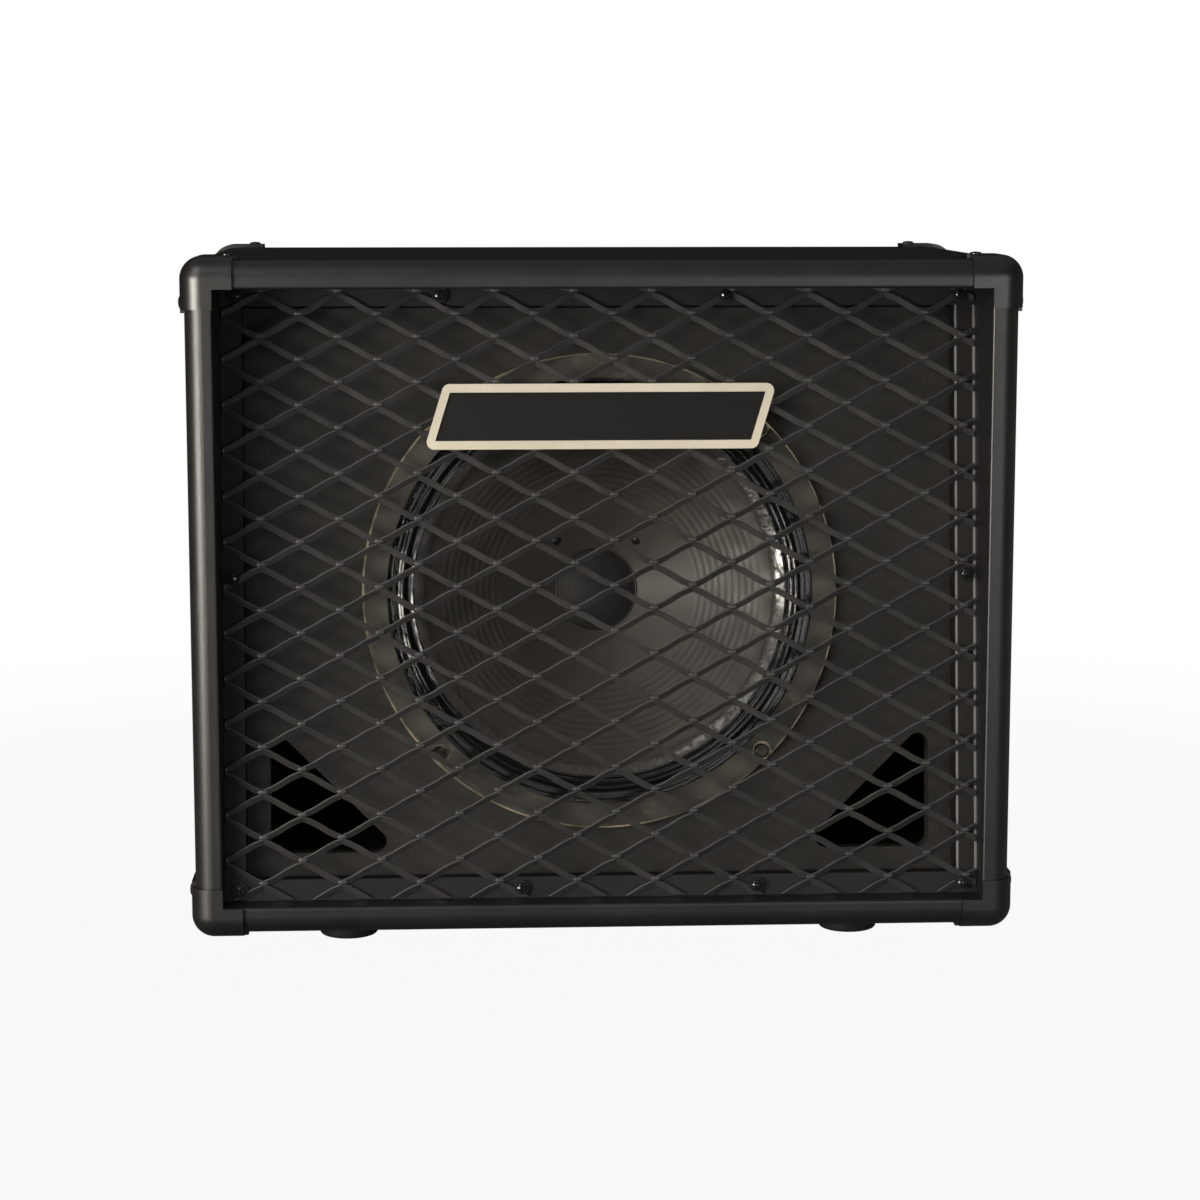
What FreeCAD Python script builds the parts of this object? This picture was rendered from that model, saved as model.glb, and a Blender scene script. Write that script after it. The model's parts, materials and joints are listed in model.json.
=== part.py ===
import FreeCAD, Part
import math
import os

# Guitar speaker cabinet with one twelve-inch speaker behind a leaning grille.
# Millimetres. X runs to the right as seen from the front, Y to the rear, Z up.
# The origin is on the floor, under the middle of the cabinet.

V = FreeCAD.Vector

# Carcass and covering
cabinet_width = 522.0
cabinet_height = 427.5
cabinet_depth = 310.0
panel_thickness = 17.0
covering_thickness = 0.5
corner_radius = 12.0
edge_radius = 11.5
lip_radius = 2.0

# Leaning front: recess of the grille at its foot, lean, battens and baffle
front_recess = 18.6
lean_angle = 7.15
batten_width = 13.5
batten_depth = 19.0
baffle_thickness = 17.0

# Triangular ports in the lower corners of the baffle, with their legs before the corners are rounded
port_margin = 28.3
port_leg_across = 85.0
port_leg_up = 84.0
port_radius = 7.0

# Expanded-metal grille: long and short way of a diamond, and one knot's place on the sheet
mesh_long_way = 50.36
mesh_short_way = 29.17
mesh_strand = 4.0
mesh_bond = 3.4
mesh_thickness = 3.0
mesh_selvage = 2.0
mesh_knot_x = 8.4
mesh_knot_y = -114.3
mesh_clearance = 1.0
mesh_least_gap_area = 15.0

# Grille screws and washers, along the middle of the battens
top_screw_places = (-103.0, 81.0)
bottom_screw_places = (-53.0, 99.0)
side_screw_height = 10.0
corner_screw_inset = 10.0
grille_screw_radius = 1.9
grille_screw_length = 17.0
grille_head_radius = 3.4
grille_head_height = 2.2
grille_washer_radius = 4.8
grille_washer_thickness = 0.8

# Blank badge on the grille
badge_width = 214.0
badge_height = 42.0
badge_slant = 13.0
badge_radius = 5.0
badge_thickness = 3.2
badge_rim = 5.5
badge_field_depth = 1.2
badge_rise = 112.4
badge_stud_radius = 2.0
badge_stud_columns = (-3, 3)
clip_width = 9.0
clip_overlap = 2.0
clip_thickness = 1.5

# Corner caps: thickness, reach on the front or rear frame, across the box, into its depth, and screws
cap_thickness = 2.6
cap_seat = 0.1
cap_frame_reach = 30.5
cap_side_reach = 33.0
cap_depth_reach = 37.0
cap_screw_inset = 6.5
cap_screw_setback = 18.0
trim_screw_radius = 1.8
trim_screw_length = 16.0
trim_head_radius = 3.8
trim_head_height = 1.6

# Feet
foot_height = 18.0
foot_top_radius = 20.5
foot_tread_radius = 19.0
foot_round = 2.5
foot_side_inset = 95.0
foot_setback = 74.0
foot_well_radius = 6.5
foot_well_depth = 9.0
foot_screw_radius = 2.3
foot_screw_length = 22.0
foot_head_radius = 5.0
foot_head_height = 3.0

# Rear panel and its cleats
rear_inset = 6.0
rear_panel_thickness = 12.0
cleat_size = 18.0
rear_fit = 0.5
rear_screw_side_inset = 53.5
rear_screw_end_inset = 106.0
rear_screw_radius = 2.0
rear_screw_length = 26.0
rear_head_radius = 4.2
rear_head_height = 2.2

# Jack plate with two quarter-inch jacks
jack_plate_width = 140.0
jack_plate_height = 66.0
jack_plate_thickness = 1.6
jack_plate_radius = 6.0
jack_plate_rise = 105.0
jack_border = 12.0
jack_spacing = 56.0
jack_bore_radius = 3.25
jack_bore_depth = 31.0
jack_bush_radius = 4.7
jack_bush_length = 6.0
jack_body_size = 19.0
jack_body_length = 34.0
jack_tag_width = 5.0
jack_tag_thickness = 0.8
jack_tag_length = 8.0
jack_nut_flats = 12.7
jack_nut_thickness = 2.4

# Recessed side handles
handle_length = 126.0
handle_height = 86.0
handle_depth = 48.0
handle_wall = 2.5
handle_flange = 15.0
handle_radius = 16.0
handle_rise = 252.0
grip_radius = 10.0
grip_inset = 13.0
grip_lift = 14.0

# Speaker: flange, gasket and basket
flange_radius = 154.5
flange_thickness = 1.8
bolt_inset = 6.0
gasket_rim = 1.5
gasket_width = 14.7
gasket_thickness = 5.0
gasket_notch_radius = 6.5
surround_lip = 7.1
basket_foot_radius = 78.0
basket_depth = 84.0
basket_sheet = 2.0
baffle_hole_clearance = 8.0
window_count = 8
window_leg = 26.0
window_margin = 12.0
bolt_hole_count = 8
ledge_radius = 56.0
ledge_width = 8.0
ledge_height = 20.0
frame_throat_radius = 27.0

# Speaker: moving parts
surround_width = 10.7
surround_margin = 1.0
surround_paper = 0.7
surround_wave_count = 3
surround_wave_height = 1.3
cone_depth = 58.0
cone_paper = 1.0
glue_gap = 0.2
cap_dome_radius = 26.5
cap_dome_height = 8.0
cap_dome_paper = 0.8
former_radius = 22.0
former_wall = 0.4
winding_thickness = 0.8
winding_length = 12.0
former_tail = 1.5
spider_cloth = 0.6
spider_margin = 3.0
spider_wave_count = 8
spider_wave_height = 1.6

# Speaker: magnet
top_plate_radius = 72.0
coil_clearance = 1.0
top_plate_thickness = 8.0
magnet_radius = 78.0
magnet_bore = 42.0
magnet_thickness = 22.0
back_plate_radius = 74.0
back_plate_thickness = 8.0
pole_clearance = 0.8

# Speaker bolts and tee nuts
bolt_radius = 2.5
bolt_length = 27.0
bolt_head_radius = 4.6
bolt_head_height = 3.0
tee_barrel_radius = 3.3
tee_barrel_length = 9.0
tee_flange_radius = 9.0
tee_flange_thickness = 1.5

# Terminal board and leads
board_width = 30.0
board_length = 16.0
board_thickness = 2.0
board_gap = 0.2
rivet_radius = 1.5
rivet_spacing = 16.0
rivet_reach = 4.0
tinsel_radius = 0.8
eyelet_radius = 41.7
eyelet_angle = 39.0
lead_radius = 1.8

# Bends of the leads: outward, up and forward from a cone eyelet, and across, up and behind the back plate
tinsel_stub = 12.0
tinsel_bends = ((-7.8, 42.0, -1.0), (-3.2, 22.0, -9.0), (0.0, 6.0, -10.0))
lead_tag_run = 26.0
lead_bends = ((33.0, -30.0, 29.0), (45.0, 29.0, 18.0), (37.0, 82.0, -3.0))
lead_spread = 6.0
lead_rivet_run = 26.0
lead_rivet_bend = (62.0, 24.0)

# Clearance round screw shanks, pins and bushes
drill_clearance = 0.1

# Places worked out from the sizes above
half_width = cabinet_width / 2
front = -cabinet_depth / 2
rear = cabinet_depth / 2
base = foot_height
top = base + cabinet_height
board_inset = panel_thickness + covering_thickness
wall = board_inset + covering_thickness
inner_half = half_width - board_inset
inner_base = base + board_inset
inner_top = top - board_inset
rear_face = rear - rear_inset
cleat_face = rear_face - rear_panel_thickness
cap_screw_offset = cap_side_reach - cap_screw_inset
clip_length = mesh_short_way + 2 * clip_overlap
badge_stud_row = 2 * round((badge_rise - mesh_knot_y) / mesh_short_way)
bolt_circle_radius = flange_radius - bolt_inset
gasket_outer_radius = flange_radius - gasket_rim
gasket_inner_radius = gasket_outer_radius - gasket_width
basket_mouth_radius = gasket_inner_radius - surround_lip
baffle_hole_radius = basket_mouth_radius + basket_sheet + baffle_hole_clearance
cone_edge_radius = basket_mouth_radius - surround_width
former_outer_radius = former_radius + former_wall
cone_neck_radius = former_outer_radius + glue_gap
top_plate_bore = former_outer_radius + winding_thickness + coil_clearance
pole_radius = former_radius - pole_clearance
lean_radians = math.radians(lean_angle)
lean_rise = cabinet_height - 2 * wall
half_slope = lean_rise / 2 / math.cos(lean_radians)
lean_origin = V(
    0,
    front + front_recess + lean_rise / 2 * math.tan(lean_radians),
    base + wall + lean_rise / 2,
)
lean_placement = FreeCAD.Placement(lean_origin, FreeCAD.Rotation(V(1, 0, 0), 90 - lean_angle))
reach = 2 * max(cabinet_width, cabinet_height, cabinet_depth)


def block(x0, x1, y0, y1, z0, z1):
    """Box between two corners."""
    return Part.makeBox(x1 - x0, y1 - y0, z1 - z0, V(x0, y0, z0))


def cylinder(radius, z0, z1, x=0.0, y=0.0):
    """Upright cylinder between two heights."""
    return Part.makeCylinder(radius, z1 - z0, V(x, y, z0))


def ring(inner, outer, z0, z1):
    """Flat ring between two heights."""
    return cylinder(outer, z0, z1).cut(cylinder(inner, z0 - 1, z1 + 1))


def turned(points):
    """Solid turned about the Z axis from radius and height pairs."""
    outline = [V(r, 0, z) for r, z in points]
    return Part.Face(Part.makePolygon(outline + outline[:1])).revolve(V(0, 0, 0), V(0, 0, 1), 360)


def prism(points, z0, z1):
    """Straight prism on an outline in the XY plane."""
    outline = [V(x, y, z0) for x, y in points]
    return Part.Face(Part.makePolygon(outline + outline[:1])).extrude(V(0, 0, z1 - z0))


def eased(shape, radius, axis):
    """Round the straight edges that run along an axis."""
    chosen = []
    for edge in shape.Edges:
        along = edge.Vertexes[-1].Point - edge.Vertexes[0].Point
        if along.Length > 0 and abs(abs(along.normalize().dot(axis)) - 1) < 1e-6:
            chosen.append(edge)
    return shape.makeFillet(radius, chosen)


def put(shape, placement):
    """Copy of a shape moved by a placement."""
    moved = shape.copy()
    moved.Placement = placement.multiply(moved.Placement)
    return moved


def shifted(shape, x, y, z):
    """Copy of a shape moved along the axes."""
    return put(shape, FreeCAD.Placement(V(x, y, z), FreeCAD.Rotation()))


def spun(shape, degrees):
    """Copy of a shape turned about the Z axis."""
    return put(shape, FreeCAD.Placement(V(), FreeCAD.Rotation(V(0, 0, 1), degrees)))


def aimed(shape, place, direction):
    """Copy of a shape with its Z axis turned to a direction and its origin at a place."""
    return put(shape, FreeCAD.Placement(place, FreeCAD.Rotation(V(0, 0, 1), direction)))


def lean(shape):
    """Shape drawn on the grille plane (X right, Y up the slope, Z out of the front), put in place."""
    return put(shape, lean_placement)


def seat(shape):
    """Shape drawn on the baffle's front face about the speaker's axis, put in place."""
    return lean(shifted(shape, 0, 0, -batten_depth))


def joined(first, *others):
    """One solid from touching solids."""
    return first.fuse(list(others)).removeSplitter().Solids[0]


def less(shape, tools):
    """Shape with the tools that reach it cut away."""
    near = [tool for tool in tools if tool.BoundBox.intersect(shape.BoundBox)]
    if not near:
        return shape
    return shape.cut(near).Solids[0]


def round_head_screw(shank_radius, length, head_radius, head_height):
    """Round-headed screw: underside of the head at Z = 0, shank downwards."""
    ball = (head_radius**2 + head_height**2) / (2 * head_height)
    head = Part.makeSphere(ball, V(0, 0, head_height - ball)).common(cylinder(head_radius, 0, head_height))
    point = 2 * shank_radius
    shank = cylinder(shank_radius, point - length, 0)
    tip = Part.makeCone(0, shank_radius, point, V(0, 0, -length))
    return joined(head, shank, tip)


def screws_and_drills(places, shank_radius, length, head_radius, head_height):
    """Screws at (place, direction) pairs, and the clearance drills for their shanks."""
    screw = round_head_screw(shank_radius, length, head_radius, head_height)
    drill = cylinder(shank_radius + drill_clearance, -length - drill_clearance, head_height)
    screws = [aimed(screw, place, direction) for place, direction in places]
    drills = [aimed(drill, place, direction) for place, direction in places]
    return screws, drills


def rounded_block(grow):
    """Outer block of the cabinet with rounded edges, grown on every side."""
    body = block(-half_width - grow, half_width + grow, front - grow, rear + grow, base - grow, top + grow)
    body = eased(body, corner_radius + grow, V(0, 1, 0))
    rims = [e for e in body.Edges if abs(abs(e.CenterOfMass.y) - rear - grow) < 1e-6]
    return body.makeFillet(edge_radius + grow, rims)


def opening(inset):
    """Prism of the opening right through the cabinet, inset from its outer faces."""
    side = half_width - inset
    return block(-side, side, -reach, reach, base + inset, top - inset)


def open_frame(grow, inset, lip):
    """Rounded block opened through from front to rear, with eased inner lips."""
    frame = rounded_block(grow).cut(opening(inset))
    lips = []
    for edge in frame.Edges:
        middle = edge.CenterOfMass
        on_face = abs(abs(middle.y) - rear - grow) < 1e-6
        inside = abs(middle.x) < half_width - inset + 1e-6
        if on_face and inside and base + inset - 1e-6 < middle.z < top - inset + 1e-6:
            lips.append(edge)
    return frame.makeFillet(lip, lips)


def behind_grille():
    """Space behind the grille plane."""
    return lean(block(-reach, reach, -reach, reach, -reach, 0))


def carcass_panels():
    """Four boards of the carcass by name."""
    frame = open_frame(-covering_thickness, board_inset, lip_radius - covering_thickness)
    across = (-half_width, half_width)
    return {
        "top_panel": frame.common(block(*across, front, rear, inner_top, top)),
        "bottom_panel": frame.common(block(*across, front, rear, base, inner_base)),
        "left_panel": frame.common(block(-half_width, -inner_half, front, rear, inner_base, inner_top)),
        "right_panel": frame.common(block(inner_half, half_width, front, rear, inner_base, inner_top)),
    }


def vinyl_covering():
    """Vinyl round the boards, turned in as far as the grille and the rear panel."""
    cloth = open_frame(0, wall, lip_radius)
    cloth = cloth.cut(open_frame(-covering_thickness, board_inset, lip_radius - covering_thickness))
    ahead_of_rear_panel = block(-reach, reach, -reach, rear_face, 0, reach)
    unlined = opening(board_inset).common(behind_grille()).common(ahead_of_rear_panel)
    return cloth.cut(unlined).Solids[0]


def leaning_board(x0, x1, y0, y1, z0, z1):
    """Board parallel to the grille, trimmed to the inside of the carcass."""
    return lean(block(x0, x1, y0, y1, z0, z1)).common(opening(board_inset)).Solids[0]


def grille_battens():
    """Four battens between the grille and the baffle."""
    edge = half_slope - batten_width
    side = half_width - wall - batten_width
    return {
        "grille_batten_top": leaning_board(-reach, reach, edge, reach, -batten_depth, 0),
        "grille_batten_bottom": leaning_board(-reach, reach, -reach, -edge, -batten_depth, 0),
        "grille_batten_left": leaning_board(-reach, -side, -edge, edge, -batten_depth, 0),
        "grille_batten_right": leaning_board(side, reach, -edge, edge, -batten_depth, 0),
    }


def port_prism(side, z0, z1):
    """Right-angled triangle with rounded corners, its right angle low and outwards."""
    outer_x = half_width - wall - port_margin
    low_y = -half_slope + port_margin
    corners = [
        V(side * outer_x, low_y, z0),
        V(side * outer_x, low_y + port_leg_up, z0),
        V(side * (outer_x - port_leg_across), low_y, z0),
    ]
    triangle = Part.Face(Part.makePolygon(corners + corners[:1])).extrude(V(0, 0, z1 - z0))
    return eased(triangle, port_radius, V(0, 0, 1))


def baffle_board(drills):
    """Baffle with the speaker hole, two ports and bolt holes."""
    back = -batten_depth - baffle_thickness
    board = leaning_board(-reach, reach, -reach, reach, back, -batten_depth)
    cuts = [port_prism(side, back - 1, 1 - batten_depth) for side in (-1, 1)]
    cuts.append(cylinder(baffle_hole_radius, back - 1, 1 - batten_depth))
    return less(board, [lean(cut) for cut in cuts] + drills)


def clipped(points, axis, limit, sign):
    """Convex outline cut off where sign times a coordinate passes a limit."""
    kept = []
    for start, end in zip(points, points[1:] + points[:1]):
        over_start = sign * start[axis] - limit
        over_end = sign * end[axis] - limit
        if over_start <= 0:
            kept.append(start)
        if over_start * over_end < 0:
            share = over_start / (over_start - over_end)
            kept.append(tuple(a + share * (b - a) for a, b in zip(start, end)))
    return kept


def outline_area(points):
    """Area inside an outline."""
    pairs = zip(points, points[1:] + points[:1])
    return abs(sum(a[0] * b[1] - b[0] * a[1] for a, b in pairs)) / 2


def cell_centre(column, row):
    """Middle of a grille diamond, or of a knot where column and row add to an even number."""
    return mesh_knot_x + column * mesh_long_way / 2, mesh_knot_y + row * mesh_short_way / 2


def mesh_gaps(half_x, half_y):
    """Outlines of the diamond gaps inside a rectangle."""
    long_half = mesh_long_way / 2
    short_half = mesh_short_way / 2
    shrink = 1 - mesh_strand / 2 * math.hypot(long_half, short_half) / (long_half * short_half)
    end_x = long_half * shrink - mesh_bond / 2
    end_y = short_half * shrink * (1 - end_x / (long_half * shrink))
    top_y = short_half * shrink
    diamond = [(end_x, -end_y), (end_x, end_y), (0, top_y), (-end_x, end_y), (-end_x, -end_y), (0, -top_y)]
    columns = math.ceil((half_x + abs(mesh_knot_x)) / long_half) + 1
    rows = math.ceil((half_y + abs(mesh_knot_y)) / short_half) + 1
    gaps = []
    for column in range(-columns, columns + 1):
        for row in range(-rows, rows + 1):
            if (column + row) % 2 == 0:
                continue
            x, y = cell_centre(column, row)
            gap = [(x + a, y + b) for a, b in diamond]
            for axis, limit in ((0, half_x), (1, half_y)):
                for sign in (-1, 1):
                    gap = clipped(gap, axis, limit, sign)
            if outline_area(gap) > mesh_least_gap_area:
                gaps.append(gap)
    return gaps


def grille_mesh(drills):
    """Expanded-metal sheet as one holed face, given its thickness."""
    half_x = half_width - wall - mesh_clearance
    half_y = half_slope - mesh_clearance
    outline = [(-half_x, -half_y), (half_x, -half_y), (half_x, half_y), (-half_x, half_y)]
    wires = []
    for points in [outline] + mesh_gaps(half_x - mesh_selvage, half_y - mesh_selvage):
        corners = [V(x, y, 0) for x, y in points]
        wires.append(Part.makePolygon(corners + corners[:1]))
    sheet = Part.makeFace(wires, "Part::FaceMakerBullseye").extrude(V(0, 0, mesh_thickness))
    return less(lean(sheet), drills)


def grille_screw_places():
    """Where the grille screws stand on the washers, with their direction."""
    outward = lean_placement.Rotation.multVec(V(0, 0, 1))
    line_x = half_width - wall - batten_width / 2
    line_y = half_slope - batten_width / 2
    spots = [(x, line_y) for x in top_screw_places]
    spots += [(x, -line_y) for x in bottom_screw_places]
    spots += [(side * line_x, side_screw_height) for side in (-1, 1)]
    corner_x = half_width - wall - corner_screw_inset
    spots += [(side * corner_x, end * line_y) for side in (-1, 1) for end in (-1, 1)]
    height = mesh_thickness + grille_washer_thickness
    return [(lean_placement.multVec(V(x, y, height)), outward) for x, y in spots]


def grille_washers():
    """Flat washers under the grille screws."""
    washer = ring(grille_screw_radius + drill_clearance, grille_washer_radius, -grille_washer_thickness, 0)
    return [aimed(washer, place, direction) for place, direction in grille_screw_places()]


def badge_outline(inset):
    """Slanted outline of the badge, inset from its edge."""
    half = badge_width / 2 - inset
    tall = badge_height / 2 - inset
    tilt = badge_slant / 2 * tall / (badge_height / 2)
    return [(-half - tilt, -tall), (half - tilt, -tall), (half + tilt, tall), (-half + tilt, tall)]


def badge_stud_places():
    """Middles of the grille diamonds that the badge studs go through."""
    return [cell_centre(column, badge_stud_row) for column in badge_stud_columns]


def badge_plate():
    """Blank badge with a raised rim, a sunk field and two studs."""
    face = mesh_thickness
    crown = face + badge_thickness
    plate = eased(prism(badge_outline(0), face, crown), badge_radius, V(0, 0, 1))
    plate = shifted(plate, 0, badge_rise, 0)
    sunk = prism(badge_outline(badge_rim), crown - badge_field_depth, crown + 1)
    plate = plate.cut(shifted(sunk, 0, badge_rise, 0))
    studs = [cylinder(badge_stud_radius, -2 * clip_thickness, face, x, y) for x, y in badge_stud_places()]
    return lean(joined(plate, *studs))


def badge_clips():
    """Spring bars that hold the badge studs behind the grille."""
    clips = []
    for x, y in badge_stud_places():
        bar = block(-clip_width / 2, clip_width / 2, -clip_length / 2, clip_length / 2, -clip_thickness, 0)
        bar = bar.cut(cylinder(badge_stud_radius + drill_clearance, -clip_thickness - 1, 1))
        clips.append(lean(shifted(bar, x, y, 0)))
    return clips


def corner_cap(shell, side, end, level, drills):
    """Moulded cap over one corner: side -1 left, end -1 front, level -1 bottom."""
    corner_x = side * half_width
    corner_y = end * rear
    corner_z = top if level > 0 else base

    def near(reach_x, reach_y, reach_z):
        """Box round the corner with a reach inwards along each axis."""
        corners = (corner_x, corner_y, corner_z)
        spans = []
        for corner, sign, inward in zip(corners, (side, end, level), (reach_x, reach_y, reach_z)):
            spans += sorted((corner - sign * inward, corner + sign * 2 * cap_thickness))
        return block(*spans)

    tabs = near(cap_side_reach, cap_depth_reach, cap_side_reach)
    rim = near(2 * cap_side_reach, edge_radius, 2 * cap_side_reach)
    face = near(cap_frame_reach, edge_radius, cap_frame_reach)
    cap = shell.common(tabs.cut(rim).fuse(face))
    return less(cap.cut(opening(wall)), drills)


def corner_screw_places():
    """Two screws to a cap, one on the top or bottom tab and one on the side tab."""
    lift = cap_thickness
    places = []
    for end in (-1, 1):
        y = end * (rear - cap_screw_setback)
        for side in (-1, 1):
            for level in (-1, 1):
                edge_z = top if level > 0 else base
                flat = V(side * (half_width - cap_screw_offset), y, edge_z + level * lift)
                upright = V(side * (half_width + lift), y, edge_z - level * cap_screw_offset)
                places += [(flat, V(0, 0, level)), (upright, V(side, 0, 0))]
    return places


def foot_places():
    """Middle of each foot on the floor, by name."""
    names = {(-1, -1): "foot_front_left", (1, -1): "foot_front_right"}
    names |= {(-1, 1): "foot_rear_left", (1, 1): "foot_rear_right"}
    return {
        name: V(side * (half_width - foot_side_inset), end * (rear - foot_setback), 0)
        for (side, end), name in names.items()
    }


def rubber_foot():
    """Tapered rubber foot with a well for its screw."""
    foot = Part.makeCone(foot_tread_radius, foot_top_radius, foot_height)
    tread = [e for e in foot.Edges if e.BoundBox.ZMax < 1e-6]
    foot = foot.makeFillet(foot_round, tread)
    foot = foot.cut(cylinder(foot_well_radius, -1, foot_well_depth))
    return foot.cut(cylinder(foot_screw_radius + drill_clearance, 0, foot_height + 1)).Solids[0]


def rear_cleats():
    """Four cleats that the rear panel is screwed to."""
    span_y = (cleat_face - cleat_size, cleat_face)
    low = inner_base + cleat_size
    high = inner_top - cleat_size
    return {
        "rear_cleat_top": block(-inner_half, inner_half, *span_y, high, inner_top),
        "rear_cleat_bottom": block(-inner_half, inner_half, *span_y, inner_base, low),
        "rear_cleat_left": block(-inner_half, cleat_size - inner_half, *span_y, low, high),
        "rear_cleat_right": block(inner_half - cleat_size, inner_half, *span_y, low, high),
    }


def rear_screw_places():
    """Screws round the rear panel, over the middle of the cleats."""
    column = inner_half - rear_screw_side_inset
    cleat_heights = (inner_base + cleat_size / 2, inner_top - cleat_size / 2)
    spots = [(x, z) for x in (-column, 0, column) for z in cleat_heights]
    edge = inner_half - cleat_size / 2
    rows = (inner_base + rear_screw_end_inset, inner_top - rear_screw_end_inset)
    spots += [(side * edge, z) for side in (-1, 1) for z in rows]
    return [(V(x, rear_face, z), V(0, 1, 0)) for x, z in spots]


def jack_height():
    """Height of the jack plate's middle."""
    return base + jack_plate_rise


def rear_panel(drills):
    """Rear panel with the cut-out behind the jack plate."""
    side = inner_half - rear_fit
    panel = block(-side, side, cleat_face, rear_face, inner_base + rear_fit, inner_top - rear_fit)
    hole_x = jack_plate_width / 2 - jack_border
    hole_z = jack_plate_height / 2 - jack_border
    hole = block(-hole_x, hole_x, -reach, reach, jack_height() - hole_z, jack_height() + hole_z)
    return less(panel.cut(hole), drills)


def jack_places():
    """Where each jack's axis leaves the rear panel's face, by name."""
    names = {"input_jack": 1, "link_jack": -1}
    return {name: V(side * jack_spacing / 2, rear_face, jack_height()) for name, side in names.items()}


def jack_plate(drills):
    """Steel plate that carries the jacks."""
    half = jack_plate_width / 2
    tall = jack_plate_height / 2
    height = jack_height()
    outer = rear_face + jack_plate_thickness
    plate = block(-half, half, rear_face, outer, height - tall, height + tall)
    plate = eased(plate, jack_plate_radius, V(0, 1, 0))
    bush = cylinder(jack_bush_radius + drill_clearance, -1, jack_plate_thickness + 1)
    bushes = [aimed(bush, place, V(0, 1, 0)) for place in jack_places().values()]
    return less(plate, bushes + drills)


def jack():
    """Jack with its axis on Z, its body below Z = 0 and its bush above."""
    mouth = jack_plate_thickness + jack_bush_length
    half = jack_body_size / 2
    body = block(-half, half, -half, half, -jack_body_length, 0)
    tag_span = (-jack_body_length - jack_tag_length, -jack_body_length)
    tags = []
    for side in (-1, 1):
        x = side * half / 2
        tags.append(
            block(
                x - jack_tag_thickness / 2,
                x + jack_tag_thickness / 2,
                -jack_tag_width / 2,
                jack_tag_width / 2,
                *tag_span,
            )
        )
    whole = joined(body, cylinder(jack_bush_radius, 0, mouth), *tags)
    return whole.cut(cylinder(jack_bore_radius, -jack_bore_depth, mouth + 1)).Solids[0]


def jack_nuts():
    """Hexagon nuts on the jack bushes."""
    corner = jack_nut_flats / math.sqrt(3)
    points = [(corner * math.cos(k * math.pi / 3), corner * math.sin(k * math.pi / 3)) for k in range(6)]
    low = jack_plate_thickness
    nut = prism(points, low, low + jack_nut_thickness)
    nut = nut.cut(cylinder(jack_bush_radius + drill_clearance, 0, 2 * jack_bush_length))
    return [aimed(nut, place, V(0, 1, 0)) for place in jack_places().values()]


def jack_plate_screw_places():
    """Four screws at the corners of the jack plate."""
    x = jack_plate_width / 2 - jack_border / 2
    z = jack_plate_height / 2 - jack_border / 2
    face = rear_face + jack_plate_thickness
    spots = [(side * x, jack_height() + level * z) for side in (-1, 1) for level in (-1, 1)]
    return [(V(x, face, z), V(0, 1, 0)) for x, z in spots]


def handle_middle():
    """Middle of the side between the baffle's back, at the top of the cup, and the rear cleats."""
    cup_top = base + handle_rise + handle_height / 2
    baffle_back = lean_origin.y + (cup_top - lean_origin.z) * math.tan(lean_radians)
    baffle_back += (batten_depth + baffle_thickness) / math.cos(lean_radians)
    return (baffle_back + cleat_face - cleat_size) / 2


def handle_block(x0, x1, grow):
    """Rounded prism on the handle's outline, grown all round, on the right side."""
    half = handle_length / 2 + grow
    tall = handle_height / 2 + grow
    y = handle_middle()
    z = base + handle_rise
    return eased(block(x0, x1, y - half, y + half, z - tall, z + tall), handle_radius + grow, V(1, 0, 0))


def handle_cup():
    """Right-hand recessed handle: flange, cup and grip moulded in one."""
    deep = half_width - handle_depth
    face = half_width + cap_thickness
    cup = handle_block(deep, face, 0)
    flange = handle_block(half_width, face, handle_flange)
    hollow = handle_block(deep + handle_wall, face + 1, -handle_wall)
    shell = cup.fuse(flange).cut(hollow)
    y = handle_middle()
    grip_at = V(half_width - grip_inset, y - handle_length / 2, base + handle_rise + grip_lift)
    grip = Part.makeCylinder(grip_radius, handle_length, grip_at, V(0, 1, 0))
    return joined(shell, grip)


def handle_cut():
    """Hole in the side board and covering for the right-hand cup."""
    return handle_block(half_width - 2 * handle_depth, half_width, drill_clearance)


def handle_screw_places():
    """Four screws to each handle, at the corners of its flange."""
    y = handle_length / 2 - handle_radius + handle_flange / 2
    z = handle_height / 2 + handle_flange / 2
    places = []
    for side in (-1, 1):
        for end in (-1, 1):
            for level in (-1, 1):
                x = side * (half_width + cap_thickness)
                place = V(x, handle_middle() + end * y, base + handle_rise + level * z)
                places.append((place, V(side, 0, 0)))
    return places


def mirrored(shape):
    """Shape reflected to the other side of the cabinet."""
    return shape.mirror(V(0, 0, 0), V(1, 0, 0))


def wavy_ring(inner, outer, start, end, count, height, level, thickness):
    """Thin ring with half-round waves between two flat margins."""
    step = (end - start) / count

    def edges_at(z):
        """Profile edges at one level, from the inner to the outer margin."""
        edges = [Part.LineSegment(V(inner, 0, z), V(start, 0, z)).toShape()]
        for k in range(count):
            a = start + k * step
            crest = z + height * (-1) ** k
            edges.append(Part.Arc(V(a, 0, z), V(a + step / 2, 0, crest), V(a + step, 0, z)).toShape())
        edges.append(Part.LineSegment(V(end, 0, z), V(outer, 0, z)).toShape())
        return edges

    edges = edges_at(level) + edges_at(level + thickness)
    for r in (inner, outer):
        edges.append(Part.LineSegment(V(r, 0, level), V(r, 0, level + thickness)).toShape())
    wire = Part.Wire(Part.__sortEdges__(edges))
    return Part.Face(wire).revolve(V(0, 0, 0), V(0, 0, 1), 360)


def bolt_angles():
    """Angles of the four bolts, on every other flange hole."""
    return [45 + 90 * k for k in range(4)]


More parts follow.
